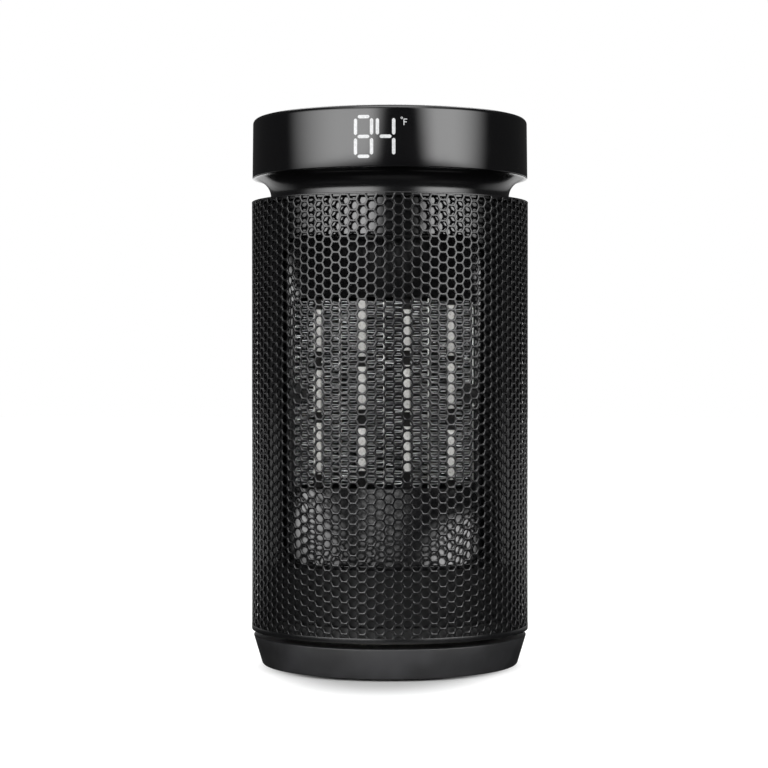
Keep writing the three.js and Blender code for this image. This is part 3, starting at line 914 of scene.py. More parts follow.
# ---------------------------------------------------------------- sub-assemblies
@dataclass
class PunchedSleeve:
    """The steel sleeve: two half rounds of hexagonal mesh between a rolled hem and a thin rim."""

    columns: int = 100
    pitch: float = 6.0
    web: float = 1.35
    corner: float = 0.62
    gauge: float = 0.95
    edge: float = 0.22
    hem: float = 3.3
    rim: float = 0.9
    phase: float = 2.3
    sunk: float = 0.06
    low: Vector = field(init=False)
    high: Vector = field(init=False)

    def __post_init__(self) -> None:
        """Takes the sleeve's size from the frame."""
        self.low, self.high = span("grille_sleeve")
        self.radius = self.high.x
        self.step = TAU * self.radius / self.columns
        self.reach = self.pitch / math.sqrt(3)

    def build(self) -> None:
        """Builds both halves, the hem and the rim."""
        front = self.half("sleeve_mesh_front")
        rear = copied(front, "sleeve_mesh_rear", Matrix.Rotation(math.pi, 4, "Z"))
        for piece in (front, rear, *self.bands()):
            mounted(dressed(piece, ENAMEL), Body.HEAD, "sleeve_enamel", "grille_sleeve")

    def cell(self) -> Piece:
        """Models two neighbouring cells of the mesh, flat, with open sides that meet the next ones.

        Returns:
            The two cells, upright.
        """
        rest_tools()
        bpy.ops.mesh.primitive_circle_add(vertices=6, radius=self.reach * MM, fill_type="NGON")
        piece = started("mesh_cell")
        bpy.ops.mesh.inset(thickness=self.web / 2 * MM)
        bpy.ops.mesh.bevel(offset=self.corner * MM, segments=1, affect="VERTICES")
        self.pull_corners_out(piece)
        pick(piece, Element.FACES, lambda f: middle(f).length < 0.1)
        bpy.ops.mesh.delete(type="ONLY_FACE")
        bpy.ops.mesh.select_all(action="SELECT")
        drawn_out(0, 0, self.gauge)
        bpy.ops.mesh.select_all(action="SELECT")
        bpy.ops.mesh.normals_make_consistent(inside=False)
        inner = self.pitch / 2 - self.web / 4
        pick(piece, Element.FACES, lambda f: abs(f.normal.z) < 0.5 and middle(f).to_2d().length > inner)
        bpy.ops.mesh.delete(type="ONLY_FACE")
        hole = 0.86 * self.reach * MM
        pick(piece, Element.EDGES, lambda e: all(v.co.z < 0.01 * MM and v.co.length < hole for v in e.verts))
        bpy.ops.mesh.bevel(offset=self.edge * MM, segments=1, affect="EDGES")
        bpy.ops.object.mode_set(mode="OBJECT")
        upright = Matrix(((0, 1, 0, 0), (0, 0, 1, 0), (1, 0, 0, 0), (0, 0, 0, 1)))
        fit = Matrix.Scale(self.step / (self.pitch * math.sqrt(3) / 2), 4, (1, 0, 0))
        moved(piece, fit @ upright)
        twin = copied(piece, "mesh_cell_2", shift(self.step, 0, self.pitch / 2))
        return joined("mesh_cells", [piece, twin])

    def pull_corners_out(self, piece: Piece) -> None:
        """Collapses the short spokes that the corner bevel leaves, and puts the outer corners back.

        Args:
            piece: The cell in edit mode.
        """
        outer = self.reach * MM * 0.999
        pick(piece, Element.EDGES, lambda e: (e.verts[0].co.length > outer) != (e.verts[1].co.length > outer))
        bpy.ops.mesh.merge(type="COLLAPSE")
        mesh = bmesh.from_edit_mesh(piece.data)
        rim = max(v.co.length for v in mesh.verts)
        for v in mesh.verts:
            if v.co.length > 0.99 * rim:
                v.co = v.co.normalized() * self.reach * MM
        bmesh.update_edit_mesh(piece.data)

    def half(self, name: str) -> Piece:
        """Repeats the cells over half the round, trims them straight and wraps them.

        Args:
            name: The half's name.

        Returns:
            The half round, towards the front.
        """
        piece = self.cell()
        piece.name = name
        pairs = self.columns // 4 + 2
        rows = int((self.high.z - self.low.z) / self.pitch) + 4
        weld = {"use_merge_vertices": True, "merge_threshold": WELD_MM * MM, "use_relative_offset": False,
                "use_constant_offset": True}
        modified(piece, "ARRAY", count=pairs, constant_offset_displace=(2 * self.step * MM, 0, 0), **weld)
        modified(piece, "ARRAY", count=rows, constant_offset_displace=(0, 0, self.pitch * MM), **weld)
        moved(piece, shift(-2 * self.step * (pairs // 2), 0, self.low.z + self.phase - 2 * self.pitch))
        self.trim(piece)
        modified(piece, "TRIANGULATE")
        wrapped(piece, lambda z: np.full_like(z, self.radius - self.sunk), self.radius)
        tidied(piece, 60)
        return modified(piece, "WEIGHTED_NORMAL", mode="FACE_AREA", weight=60)

    def trim(self, piece: Piece) -> None:
        """Cuts the flat mesh along its four sides, inside the hem and the rim, and closes the cut webs.

        Args:
            piece: The flat mesh.
        """
        half_width = self.step * self.columns / 4
        bottom, top = self.low.z + self.hem - 0.2, self.high.z - self.rim + 0.3
        opened(piece)
        for point, normal in (((half_width, 0, 0), (1, 0, 0)), ((-half_width, 0, 0), (-1, 0, 0)),
                              ((0, 0, bottom), (0, 0, -1)), ((0, 0, top), (0, 0, 1))):
            slit(Vector(point) * MM, normal, use_fill=True, clear_outer=True)
        bpy.ops.mesh.select_all(action="SELECT")
        bpy.ops.mesh.remove_doubles(threshold=DOUBLES_MM * MM)
        bpy.ops.mesh.fill_holes(sides=24)
        bpy.ops.object.mode_set(mode="OBJECT")

    def bands(self) -> list[Piece]:
        """Turns the rolled hem at the bottom and the thin rim at the top.

        Returns:
            The hem and the rim.
        """
        inner, outer = self.radius - self.gauge - 0.1, self.radius
        bottom, top = self.low.z, self.high.z
        hem = turned("sleeve_hem", [
            (inner, bottom + self.hem), (inner, bottom + 0.6),
            *arc((inner + 0.5, bottom + 0.5), 0.5, 180, 270, 4),
            *arc((outer - 0.5, bottom + 0.5), 0.5, 270, 360, 4),
            *arc((outer - 0.2, bottom + self.hem - 0.2), 0.2, 0, 90, 3)])
        rim = turned("sleeve_rim", [
            (inner, top - self.rim), (outer - 0.1, top - self.rim), (outer, top - self.rim + 0.1),
            *arc((outer - 0.3, top - 0.3), 0.3, 0, 90, 3), *arc((inner + 0.2, top - 0.2), 0.2, 90, 180, 2)])
        return [hem, rim]


@dataclass
class Base:
    """The tapered base: shell, feet and the cord's grommet."""

    wall: float = WALL
    edge: float = 0.7
    foot_edge: float = 1.6
    foot_r: float = 77.9
    bore: float = 43.0
    inlet_r: float = 5.3
    inlet_reach: Pair = (66.0, 90.0)

    def build(self) -> None:
        """Builds the pieces that stand still."""
        self.shell()
        self.feet()
        self.grommet()

    def shell(self) -> None:
        """Turns the tapered shell with its deck and bores it for the cord."""
        low, high = span("base_shell")
        top_r, bottom, top = high.x, low.z, high.z
        piece = turned("base_moulding", [
            (self.bore, top - self.wall), (self.bore + 0.3, top), (top_r - 6, top), (top_r - 2, top),
            *arc((top_r - self.edge - 0.05, top - self.edge), self.edge, 90, 8, 6),
            (self.foot_r + 0.25, bottom + 2.2),
            *arc((self.foot_r - self.foot_edge, bottom + self.foot_edge), self.foot_edge, -10, -90, 5),
            (self.foot_r - 3, bottom), (top_r - 3.1, top - self.wall)])
        tool = peg("grommet_hole", self.inlet_r, *self.inlet_reach)
        cut(piece, moved(tool, shift(0, 0, centre_of("cord_inlet").z) @ quarter("X", -1)))
        shaded(piece, 40)
        mounted(dressed(piece, BASE_SATIN), Body.BASE, "satin_base", "base_shell")

    @staticmethod
    def feet() -> None:
        """Turns one foot with a dished sole and copies it to each place."""
        foot = turned("foot", [
            (0, 0.35), (3.6, 0.3), (4.4, 0), (6.1, 0), (6.7, 0.25), (7, 0.8), (7, 2.6), (0, 2.6)], 48)
        dressed(foot, RUBBER)
        for i in range(1, 5):
            spot = centre_of(f"foot_{i}")
            twin = copied(foot, f"rubber_foot_{i}", shift(spot.x, spot.y, 0))
            mounted(twin, Body.BASE, "rubber", f"foot_{i}")
        bpy.data.objects.remove(foot)

    @staticmethod
    def grommet() -> None:
        """Turns the cord's grommet with a soft outer lip."""
        low, high = span("cord_inlet")
        piece = turned("cord_grommet", [
            (3.6, low.y + 0.4), (4.0, low.y), (5.5, low.y), (5.9, low.y + 0.4), (5.9, low.y + 1.4),
            (5.5, low.y + 1.8), (5.0, low.y + 1.8), (5.0, high.y - 0.9), (4.7, high.y - 0.2), (4.3, high.y),
            (3.9, high.y - 0.15), (3.6, high.y - 0.6)], 40)
        moved(piece, shift(0, 0, centre_of("cord_inlet").z) @ quarter("X", -1))
        mounted(dressed(piece, RUBBER), Body.BASE, "rubber", "cord_inlet")


class Sign(Enum):
    """The printed sign on a key."""

    POWER = "power"
    SWING = "swing"
    MODE = "mode"
    PLUS = "plus"
    MINUS = "minus"


@dataclass(frozen=True)
class Key:
    """One round key of the top panel: a dished cap on a flange, with its printed sign."""

    node: str
    sign: Sign
    flange: float = 326.1
    flange_r: float = 8.4
    cap_r: float = 7.1
    line: float = 0.25
    reach: float = 2.2
    print_mm: float = 0.32

    def build(self) -> None:
        """Turns the dished key and lays its sign into the dish."""
        low, high = span(self.node)
        cap = turned(self.node + "_cap", [
            (0, low.z), (2, low.z), (2, self.flange), (self.flange_r - 0.2, self.flange),
            (self.flange_r, self.flange + 0.3), (self.flange_r, self.flange + 1.4),
            (self.flange_r - 0.2, self.flange + 1.6), (self.cap_r, self.flange + 1.6),
            (self.cap_r, high.z - 0.5), *arc((self.cap_r - 0.5, high.z - 0.5), 0.5, 0, 90, 4),
            (5.4, high.z - 0.12), (3.5, high.z - 0.28), (1.6, high.z - 0.36), (0, high.z - 0.38)], 48)
        dressed(cap, KEY_SATIN)
        cap = joined(self.node + "_cap", [cap, *(dressed(mark, INK) for mark in self.marks(high.z - 0.42))])
        spot = centre_of(self.node)
        mounted(moved(cap, shift(spot.x, spot.y, 0)), self.node + "_body", "key_plastic", self.node)

    def marks(self, z: float) -> list[Piece]:
        """Models the raised print of the sign about the Z axis.

        Args:
            z: Height of the print's foot, in mm.

        Returns:
            The strokes.
        """
        thin, long = (-self.line, self.line), (-self.reach, self.reach)
        if self.sign is Sign.MINUS:
            return [self.bar(long, thin, z)]
        if self.sign is Sign.PLUS:
            return [self.bar(long, thin, z), self.bar(thin, long, z)]
        if self.sign is Sign.POWER:
            return [self.hoop(self.reach, z, 50, 310), self.bar(thin, (0.6, 2.9), z)]
        if self.sign is Sign.SWING:
            return [self.hoop(2.4, z, 120, 240), self.hoop(2.4, z, -60, 60), self.bar((-0.9, 0.9), thin, z)]
        return [self.bar((x - self.line, x + self.line), (-2, 2), z) for x in (-1.4, 0, 1.4)]

    def bar(self, x: Pair, y: Pair, z: float) -> Piece:
        """Makes one straight stroke."""
        return box("stroke", (x[0], y[0], z), (x[1], y[1], z + self.print_mm), 0.08)

    def hoop(self, radius: float, z: float, start: float, end: float) -> Piece:
        """Spins one round stroke.

        Args:
            radius: Its radius, in mm.
            z: Height of its foot, in mm.
            start: Where it starts, in degrees from +Y.
            end: Where it ends, in degrees from +Y.

        Returns:
            The stroke.
        """
        rest_tools()
        bpy.ops.mesh.primitive_plane_add(size=2 * self.line * MM, rotation=(math.pi / 2, 0, 0))
        piece = started("round_stroke")
        bpy.ops.transform.resize(value=(1, 1, self.print_mm / (2 * self.line)))
        bpy.ops.transform.translate(value=(radius * MM, 0, (z + self.print_mm / 2) * MM))
        bpy.ops.object.mode_set(mode="OBJECT")
        bpy.ops.object.transform_apply(location=True, rotation=True, scale=True)
        opened(moved(piece, Matrix.Rotation(math.radians(90 + start), 4, "Z")))
        bpy.ops.mesh.spin(steps=24, angle=math.radians(end - start), center=(0, 0, 0), axis=(0, 0, 1))
        return tidied(piece)


KEYS = (Key("key_power", Sign.POWER), Key("key_swing", Sign.SWING), Key("key_mode", Sign.MODE),
        Key("key_warmer", Sign.PLUS), Key("key_cooler", Sign.MINUS))


@dataclass
class Display:
    """The lit temperature: two seven-segment digits and the degree sign behind the smoked band."""

    band_radius: Callable[[np.ndarray], np.ndarray]
    stroke: float = 1.95
    across: float = 6.9
    upright: float = 9.4
    width: float = 11.3
    height: float = 24.6
    middle_z: float = 312.4
    digits: tuple[tuple[str, float], ...] = (("8", -9.6), ("4", 3.1))
    unit_x: float = 12.4
    unit_rise: float = 11.0
    gauge: float = 0.05
    lift: float = 0.04

    def build(self) -> None:
        """Models the segments flat and wraps them onto the band."""
        strokes = [stroke for digit, x in self.digits for stroke in self.digit(digit, x)]
        piece = joined("display_digits", [tidied(stroke) for stroke in strokes + self.unit()])
        wrapped(piece, lambda z: self.band_radius(z) + self.lift, span("cap_band")[1].x)
        mounted(dressed(piece, LIT), Body.HEAD, "cap_gloss")

    def digit(self, digit: str, x: float) -> list[Piece]:
        """Models the lit segments of one digit.

        Args:
            digit: The digit.
            x: Its middle along the band, in mm.

        Returns:
            The segments, flat.
        """
        lit = {"8": "abcdefg", "4": "bcfg"}[digit]
        side = (self.width - self.stroke) / 2
        rise = (self.height - self.stroke) / 2
        level = {"a": rise, "g": 0.0, "d": -rise}
        strokes = [self.segment(x, self.middle_z + level[s], self.across, False) for s in lit if s in level]
        for name, (sx, sz) in {"b": (1, 1), "c": (1, -1), "e": (-1, -1), "f": (-1, 1)}.items():
            if name in lit:
                strokes.append(self.segment(x + sx * side, self.middle_z + sz * rise / 2, self.upright, True))
        return strokes

    def segment(self, x: float, z: float, length: float, upright: bool) -> Piece:
        """Models one segment: a bar with blunt pointed ends and soft corners.

        Args:
            x: Middle along the band, in mm.
            z: Middle height, in mm.
            length: Length in mm.
            upright: Whether it stands.

        Returns:
            The segment, flat.
        """
        rest_tools()
        bpy.ops.mesh.primitive_plane_add(size=1)
        piece = started("segment")
        bpy.ops.transform.resize(value=(length * MM, self.stroke * MM, 1))
        bpy.ops.mesh.bevel(offset=self.stroke * 0.36 * MM, segments=1, affect="VERTICES")
        bpy.ops.mesh.bevel(offset=0.3 * MM, segments=3, affect="VERTICES")
        drawn_out(0, 0, self.gauge)
        bpy.ops.object.mode_set(mode="OBJECT")
        stand = quarter("Z") if upright else Matrix.Identity(4)
        return moved(piece, shift(x, 0, z) @ quarter("X") @ stand)

    def unit(self) -> list[Piece]:
        """Models the small degree ring and its letter.

        Returns:
            The ring and the letter's strokes, flat.
        """
        x, top = self.unit_x, self.middle_z + self.unit_rise
        rest_tools()
        bpy.ops.mesh.primitive_circle_add(vertices=20, radius=0.65 * MM, fill_type="NGON")
        ring = started("degree_ring")
        bpy.ops.mesh.inset(thickness=0.3 * MM)
        bpy.ops.mesh.delete(type="FACE")
        bpy.ops.mesh.select_all(action="SELECT")
        drawn_out(0, 0, self.gauge)
        bpy.ops.object.mode_set(mode="OBJECT")
        moved(ring, shift(x, 0, top - 0.5) @ quarter("X"))
        bars = [((x + 1.0, x + 1.5), (top - 4.6, top - 0.9)), ((x + 1.0, x + 3.1), (top - 1.4, top - 0.9)),
                ((x + 1.0, x + 2.8), (top - 3.0, top - 2.5))]
        return [ring, *(plate("letter_stroke", half, (-self.gauge, 0.0), z, 0.08) for half, z in bars)]


@dataclass
class Cap:
    """The glossy cap: flared neck, smoked band with its display, top panel and keys."""

    cove: float = 11.0
    cove_wall: float = 2.0
    edge: float = 3.0
    rim_w: float = 7.0
    draft: float = 0.35
    band_low: float = 295.3
    band_inner: float = 80.85
    band_wall: float = 2.4
    collar: Pair = (78.8, 80.3)
    key_r: float = 7.4
    key_chamfer: float = 0.5

    def build(self) -> None:
        """Builds the cap's pieces."""
        self.neck()
        self.band()
        self.panel()
        for key in KEYS:
            key.build()
        Display(self.band_radius).build()

    def band_radius(self, z: np.ndarray) -> np.ndarray:
        """Returns the band's outer radius in mm at each height in mm."""
        low, high = span("cap_band")
        return high.x - self.draft * ((z - low.z) / (high.z - self.edge - low.z))

    def neck(self) -> None:
        """Turns the finger groove: a quarter-round cove over a flat ledge."""
        low, high = span("neck_ring")
        top = self.band_low - 0.3
        ledge, ledge_r = span("grille_sleeve")[1].z, span("swivel_tray")[1].x
        centre = (high.x, top - self.cove)
        neck_r = high.x - self.cove
        inner, outer = self.collar
        piece = turned("neck_moulding", [
            (ledge_r, ledge - 0.35), (ledge_r - 0.35, ledge), (neck_r + 0.8, ledge), (neck_r, ledge + 0.8),
            *arc(centre, self.cove, 180, 91, 22), (high.x - 0.3, top), (outer, top), (outer, high.z),
            (inner, high.z), *arc(centre, self.cove + self.cove_wall, 112, 180, 10),
            (neck_r - self.cove_wall, low.z), (ledge_r, low.z)])
        mounted(dressed(piece, NECK_GLOSS), Body.HEAD, "neck_gloss", "neck_ring")

    def band(self) -> None:
        """Turns the smoked band with its round upper edge."""
        high = span("cap_band")[1]
        top_r = high.x - self.draft
        panel_r = top_r - self.rim_w
        piece = turned("cap_moulding", [
            (self.band_inner, self.band_low), (high.x - 0.5, self.band_low),
            *arc((high.x - 0.4, self.band_low + 0.4), 0.4, -80, 0, 4),
            *arc((top_r - self.edge, high.z - self.edge), self.edge, 0, 90, 12), (panel_r + 0.4, high.z),
            *arc((panel_r + 0.4, high.z - 0.4), 0.4, 90, 180, 3)[1:], (panel_r, high.z - self.band_wall),
            (self.band_inner, high.z - self.band_wall)], 192)
        mounted(dressed(piece, CAP_GLOSS), Body.HEAD, "cap_gloss", "cap_band")

    def panel(self) -> None:
        """Turns the top panel and cuts a soft-edged hole for each key."""
        low, high = span("top_panel")
        radius, wide = high.x, self.key_r + self.key_chamfer
        below, above = 300, 340
        piece = turned("top_panel_moulding", [
            (0, low.z), (radius - 0.2, low.z), (radius, low.z + 0.2),
            *arc((radius - 0.5, high.z - 0.5), 0.5, 0, 90, 4), (60, high.z), (0, high.z)], 128)
        for key in KEYS:
            spot = centre_of(key.node)
            tool = turned("key_hole", [(0, below), (self.key_r, below), (self.key_r, high.z - 0.35),
                                       (wide, high.z + 0.2), (wide, above), (0, above)], 48)
            cut(piece, moved(tool, shift(spot.x, spot.y, 0)))
        shaded(piece, 30)
        mounted(dressed(piece, TOP_SATIN), Body.HEAD, "satin_top", "top_panel")


@dataclass
class Tray:
    """The head's floor, which the sleeve stands round."""

    deck: float = 22.6
    floor: float = 2.6
    lip: float = 1.6
    lip_in: float = 2.6
    bore: float = 10.7
    hub: float = 14.0
    hub_top: float = 30.0
    shaft_r: float = 4.2

    def build(self) -> None:
        """Turns the tray with its hub and lip, and bores it for the pinion's shaft."""
        low, high = span("swivel_tray")
        lip_r, rim_r, top = high.x - self.lip_in, high.x - 0.2, self.deck + self.floor
        piece = turned("tray_moulding", [
            (self.bore, low.z + 0.3), (self.bore + 0.3, low.z), (self.hub - 0.3, low.z),
            (self.hub, low.z + 0.3), (self.hub, self.deck), (rim_r - 0.4, self.deck),
            (rim_r, self.deck + 0.4), (rim_r, top - 0.4), (rim_r - 0.4, top), (lip_r + 0.3, top + 0.2),
            (lip_r, high.z - 0.3), (lip_r - 0.3, high.z), (lip_r - self.lip, high.z), (lip_r - self.lip, top),
            (self.hub, top), (self.hub, self.hub_top - 0.3), (self.hub - 0.3, self.hub_top),
            (self.bore, self.hub_top)])
        pinion = centre_of("swing_pinion")
        cut(piece, moved(peg("shaft_hole", self.shaft_r, 10, 40), shift(pinion.x, pinion.y, 0)))
        mounted(dressed(tidied(piece, 40), TRAY_BLACK), Body.HEAD, "tray_plastic", "swivel_tray")


@dataclass
class InnerHousing:
    """The round housing behind the sleeve, with the outlet window, its funnel and the rear slots."""

    wall: float = WALL
    foot_drop: float = 0.7
    corner: float = 12.0
    lip: float = 0.9
    lap: float = 0.9
    matt_below: float = 64.0
    gap: float = 0.6
    funnel_wall: float = 1.2
    rings: int = 12
    slot_half: float = 14.0
    slot_columns: tuple[int, ...] = (-36, 0, 36)
    slot_rows: range = range(98, 224, 28)
    slats: int = 5
    slat_step: float = 2.8
    slat_half: float = 14.6
    slat_depth: float = 3.0
    slat_gauge: float = 0.7
    slat_tilt_deg: float = 42.0

    def build(self) -> None:
        """Builds the front, the funnel and the rear."""
        self.front()
        self.funnel()
        self.rear()

    def half_round(self, name: str, node: str, keep: int) -> Piece:
        """Turns the housing and cuts it in half along the X axis.

        Args:
            name: The piece's name.
            node: The CAD node that it stands for.
            keep: 1 keeps the rear half and -1 the front.

        Returns:
            The half.
        """
        low, high = span(node)
        outer, inner, foot = high.x, high.x - self.wall, low.z - self.foot_drop
        piece = turned(name, [(inner, foot), (outer - 0.4, foot), (outer, foot + 0.4), (outer, high.z - 0.4),
                              (outer - 0.4, high.z), (inner, high.z)], 128)
        opened(piece)
        slit((0, 0.15 * keep * MM, 0), (0, -keep, 0), use_fill=True, clear_outer=True)
        bpy.ops.object.mode_set(mode="OBJECT")
        return piece

    def front(self) -> None:
        """Cuts the round-cornered window into the front half and rounds its lip."""
        piece = self.half_round("outlet_housing", "front_housing", -1)
        window = (WINDOW_LOW, WINDOW_HIGH)
        cut(piece, plate("window_tool", (-WINDOW_HALF, WINDOW_HALF), (-100, -20), window, self.corner))
        rounded(piece, self.lip, 3)
        low, high = span("front_housing")
        inner = high.x - self.wall
        laps = []
        for side in (-1, 1):
            near, far = sorted((side * (inner - self.lap), side * inner))
            laps.append(box("lap", (near, -4, low.z + 4), (far, 3, high.z - 4), 0.2))
        piece = dressed(tidied(joined("outlet_housing", [piece, *laps]), 40), HOUSING_GLOSS)
        self.roughen(piece)
        modified(piece, "WEIGHTED_NORMAL", mode="FACE_AREA", weight=60, keep_sharp=True)
        mounted(piece, Body.HEAD, "housing_gloss", "front_housing")

    def roughen(self, piece: Piece) -> None:
        """Marks a line under the window and gives the wall below it the eroded finish.

        Args:
            piece: The front half of the housing.
        """
        piece.data.materials.append(HOUSING_MATT.make())
        opened(piece)
        slit((0, 0, self.matt_below * MM), (0, 0, 1))
        pick(piece, Element.FACES, lambda f: middle(f).z < self.matt_below)
        piece.active_material_index = 1
        bpy.ops.object.material_slot_assign()
        bpy.ops.object.mode_set(mode="OBJECT")

    def funnel(self) -> None:
        """Draws the window back to the element in one curved funnel."""
        rest_tools()
        bpy.ops.mesh.primitive_cube_add(size=1)
        piece = started("outlet_funnel")
        size = Vector((2 * WINDOW_HALF - self.gap, 1000, WINDOW_HIGH - WINDOW_LOW - self.gap))
        bpy.ops.transform.resize(value=(size.x * MM, 1, size.z * MM))
        bpy.ops.transform.translate(value=(0, 0.5, (WINDOW_HIGH + WINDOW_LOW) / 2 * MM))
        pick(piece, Element.EDGES, lambda e: abs(e.verts[0].co.y - e.verts[1].co.y) > 0.5)
        bpy.ops.mesh.bevel(offset=self.corner * MM, segments=8, affect="EDGES")
        pick(piece, Element.FACES, lambda f: abs(f.normal.y) > 0.9)
        bpy.ops.mesh.delete(type="FACE")
        for i in range(1, self.rings):
            slit((0, i / self.rings, 0), (0, 1, 0))
        for x in range(-50, 51, 10):
            slit((x * MM, 0, 0), (1, 0, 0))
        bpy.ops.object.mode_set(mode="OBJECT")
        for v in piece.data.vertices:
            v.co = self.on_funnel(v.co)
        tidied(piece, 50)
        modified(piece, "SOLIDIFY", thickness=self.funnel_wall * MM, offset=1.0)
        tidied(piece, 50)
        mounted(dressed(piece, HOUSING_GLOSS), Body.HEAD, "housing_gloss", "outlet_scoop", "outlet_hood")

    def on_funnel(self, point: Vector) -> Vector:
        """Maps a point of the straight tube to the funnel.

        Args:
            point: A point whose y goes from 0 at the window to 1 at the element.

        Returns:
            The point on the funnel, in metres.
        """
        frame_low, frame_high = span("ptc_frame")
        x, share, z = point.x / MM, point.y, point.z / MM
        inner = span("front_housing")[1].x - self.wall - 0.5
        front_y = -math.sqrt(max(inner ** 2 - x ** 2, 1.0))
        level = (z - WINDOW_LOW) / (WINDOW_HIGH - WINDOW_LOW)
        ease = share ** (1.0 + 0.5 * level)
        mid_z = (WINDOW_LOW + WINDOW_HIGH) / 2
        goal_mid = (frame_low.z + frame_high.z) / 2
        squeeze_x = (frame_high.x - 1.5) / WINDOW_HALF
        squeeze_z = (frame_high.z - frame_low.z - 4) / (WINDOW_HIGH - WINDOW_LOW)
        new_x = x * (1 + (squeeze_x - 1) * ease)
        new_z = z + ((goal_mid + (z - mid_z) * squeeze_z) - z) * ease
        reach = -math.sqrt(max(inner ** 2 - new_x ** 2, 1.0))
        new_y = max(front_y + (frame_low.y - 0.4 - front_y) * share, reach)
        return Vector((new_x, new_y, new_z)) * MM

    def rear(self) -> None:
        """Cuts rows of intake slots into the rear half and closes them to the eye with sloping slats."""
        piece = self.half_round("intake_housing", "rear_housing", 1)
        slots = [(x, z) for z in self.slot_rows for x in self.slot_columns]
        reach, corner = (30, 100), 2.5
        half = self.slot_half
        tools = [plate("slot_tool", (x - half, x + half), reach, (z, z + half), corner) for x, z in slots]
        cut(piece, joined("slot_tools", tools))
        tidied(piece, 40)
        slats = [self.slat(x, z + 1.4 + self.slat_step * i) for x, z in slots for i in range(self.slats)]
        piece = tidied(joined("intake_housing", [piece, *slats]), 40)
        mounted(dressed(piece, INNER_DARK), Body.HEAD, "dark_plastic", "rear_housing")

    def slat(self, x: float, z: float) -> Piece:
        """Models one slat: a thin strip that slopes down to the outside and follows the wall.

        Args:
            x: The middle of its slot, in mm.
            z: Its height, in mm.

        Returns:
            The slat.
        """
        radius = span("rear_housing")[1].y
        start, end = (math.asin((x + side * self.slat_half) / radius) for side in (-1, 1))
        rest_tools()
        bpy.ops.mesh.primitive_cube_add(size=1)
        piece = started("slat")
        length = (end - start) * radius
        bpy.ops.transform.resize(value=(length * MM, self.slat_depth * MM, self.slat_gauge * MM))
        pick(piece, Element.EDGES, lambda e: abs(e.verts[0].co.x - e.verts[1].co.x) > 20 * MM)
        bpy.ops.mesh.subdivide(number_cuts=5)
        bpy.ops.object.mode_set(mode="OBJECT")
        moved(piece, shift(0, 1.15, z) @ Matrix.Rotation(math.radians(self.slat_tilt_deg), 4, "X"))
        wrapped(piece, lambda heights: np.full_like(heights, radius), radius)
        return moved(piece, Matrix.Rotation(math.pi - (start + end) / 2, 4, "Z"))


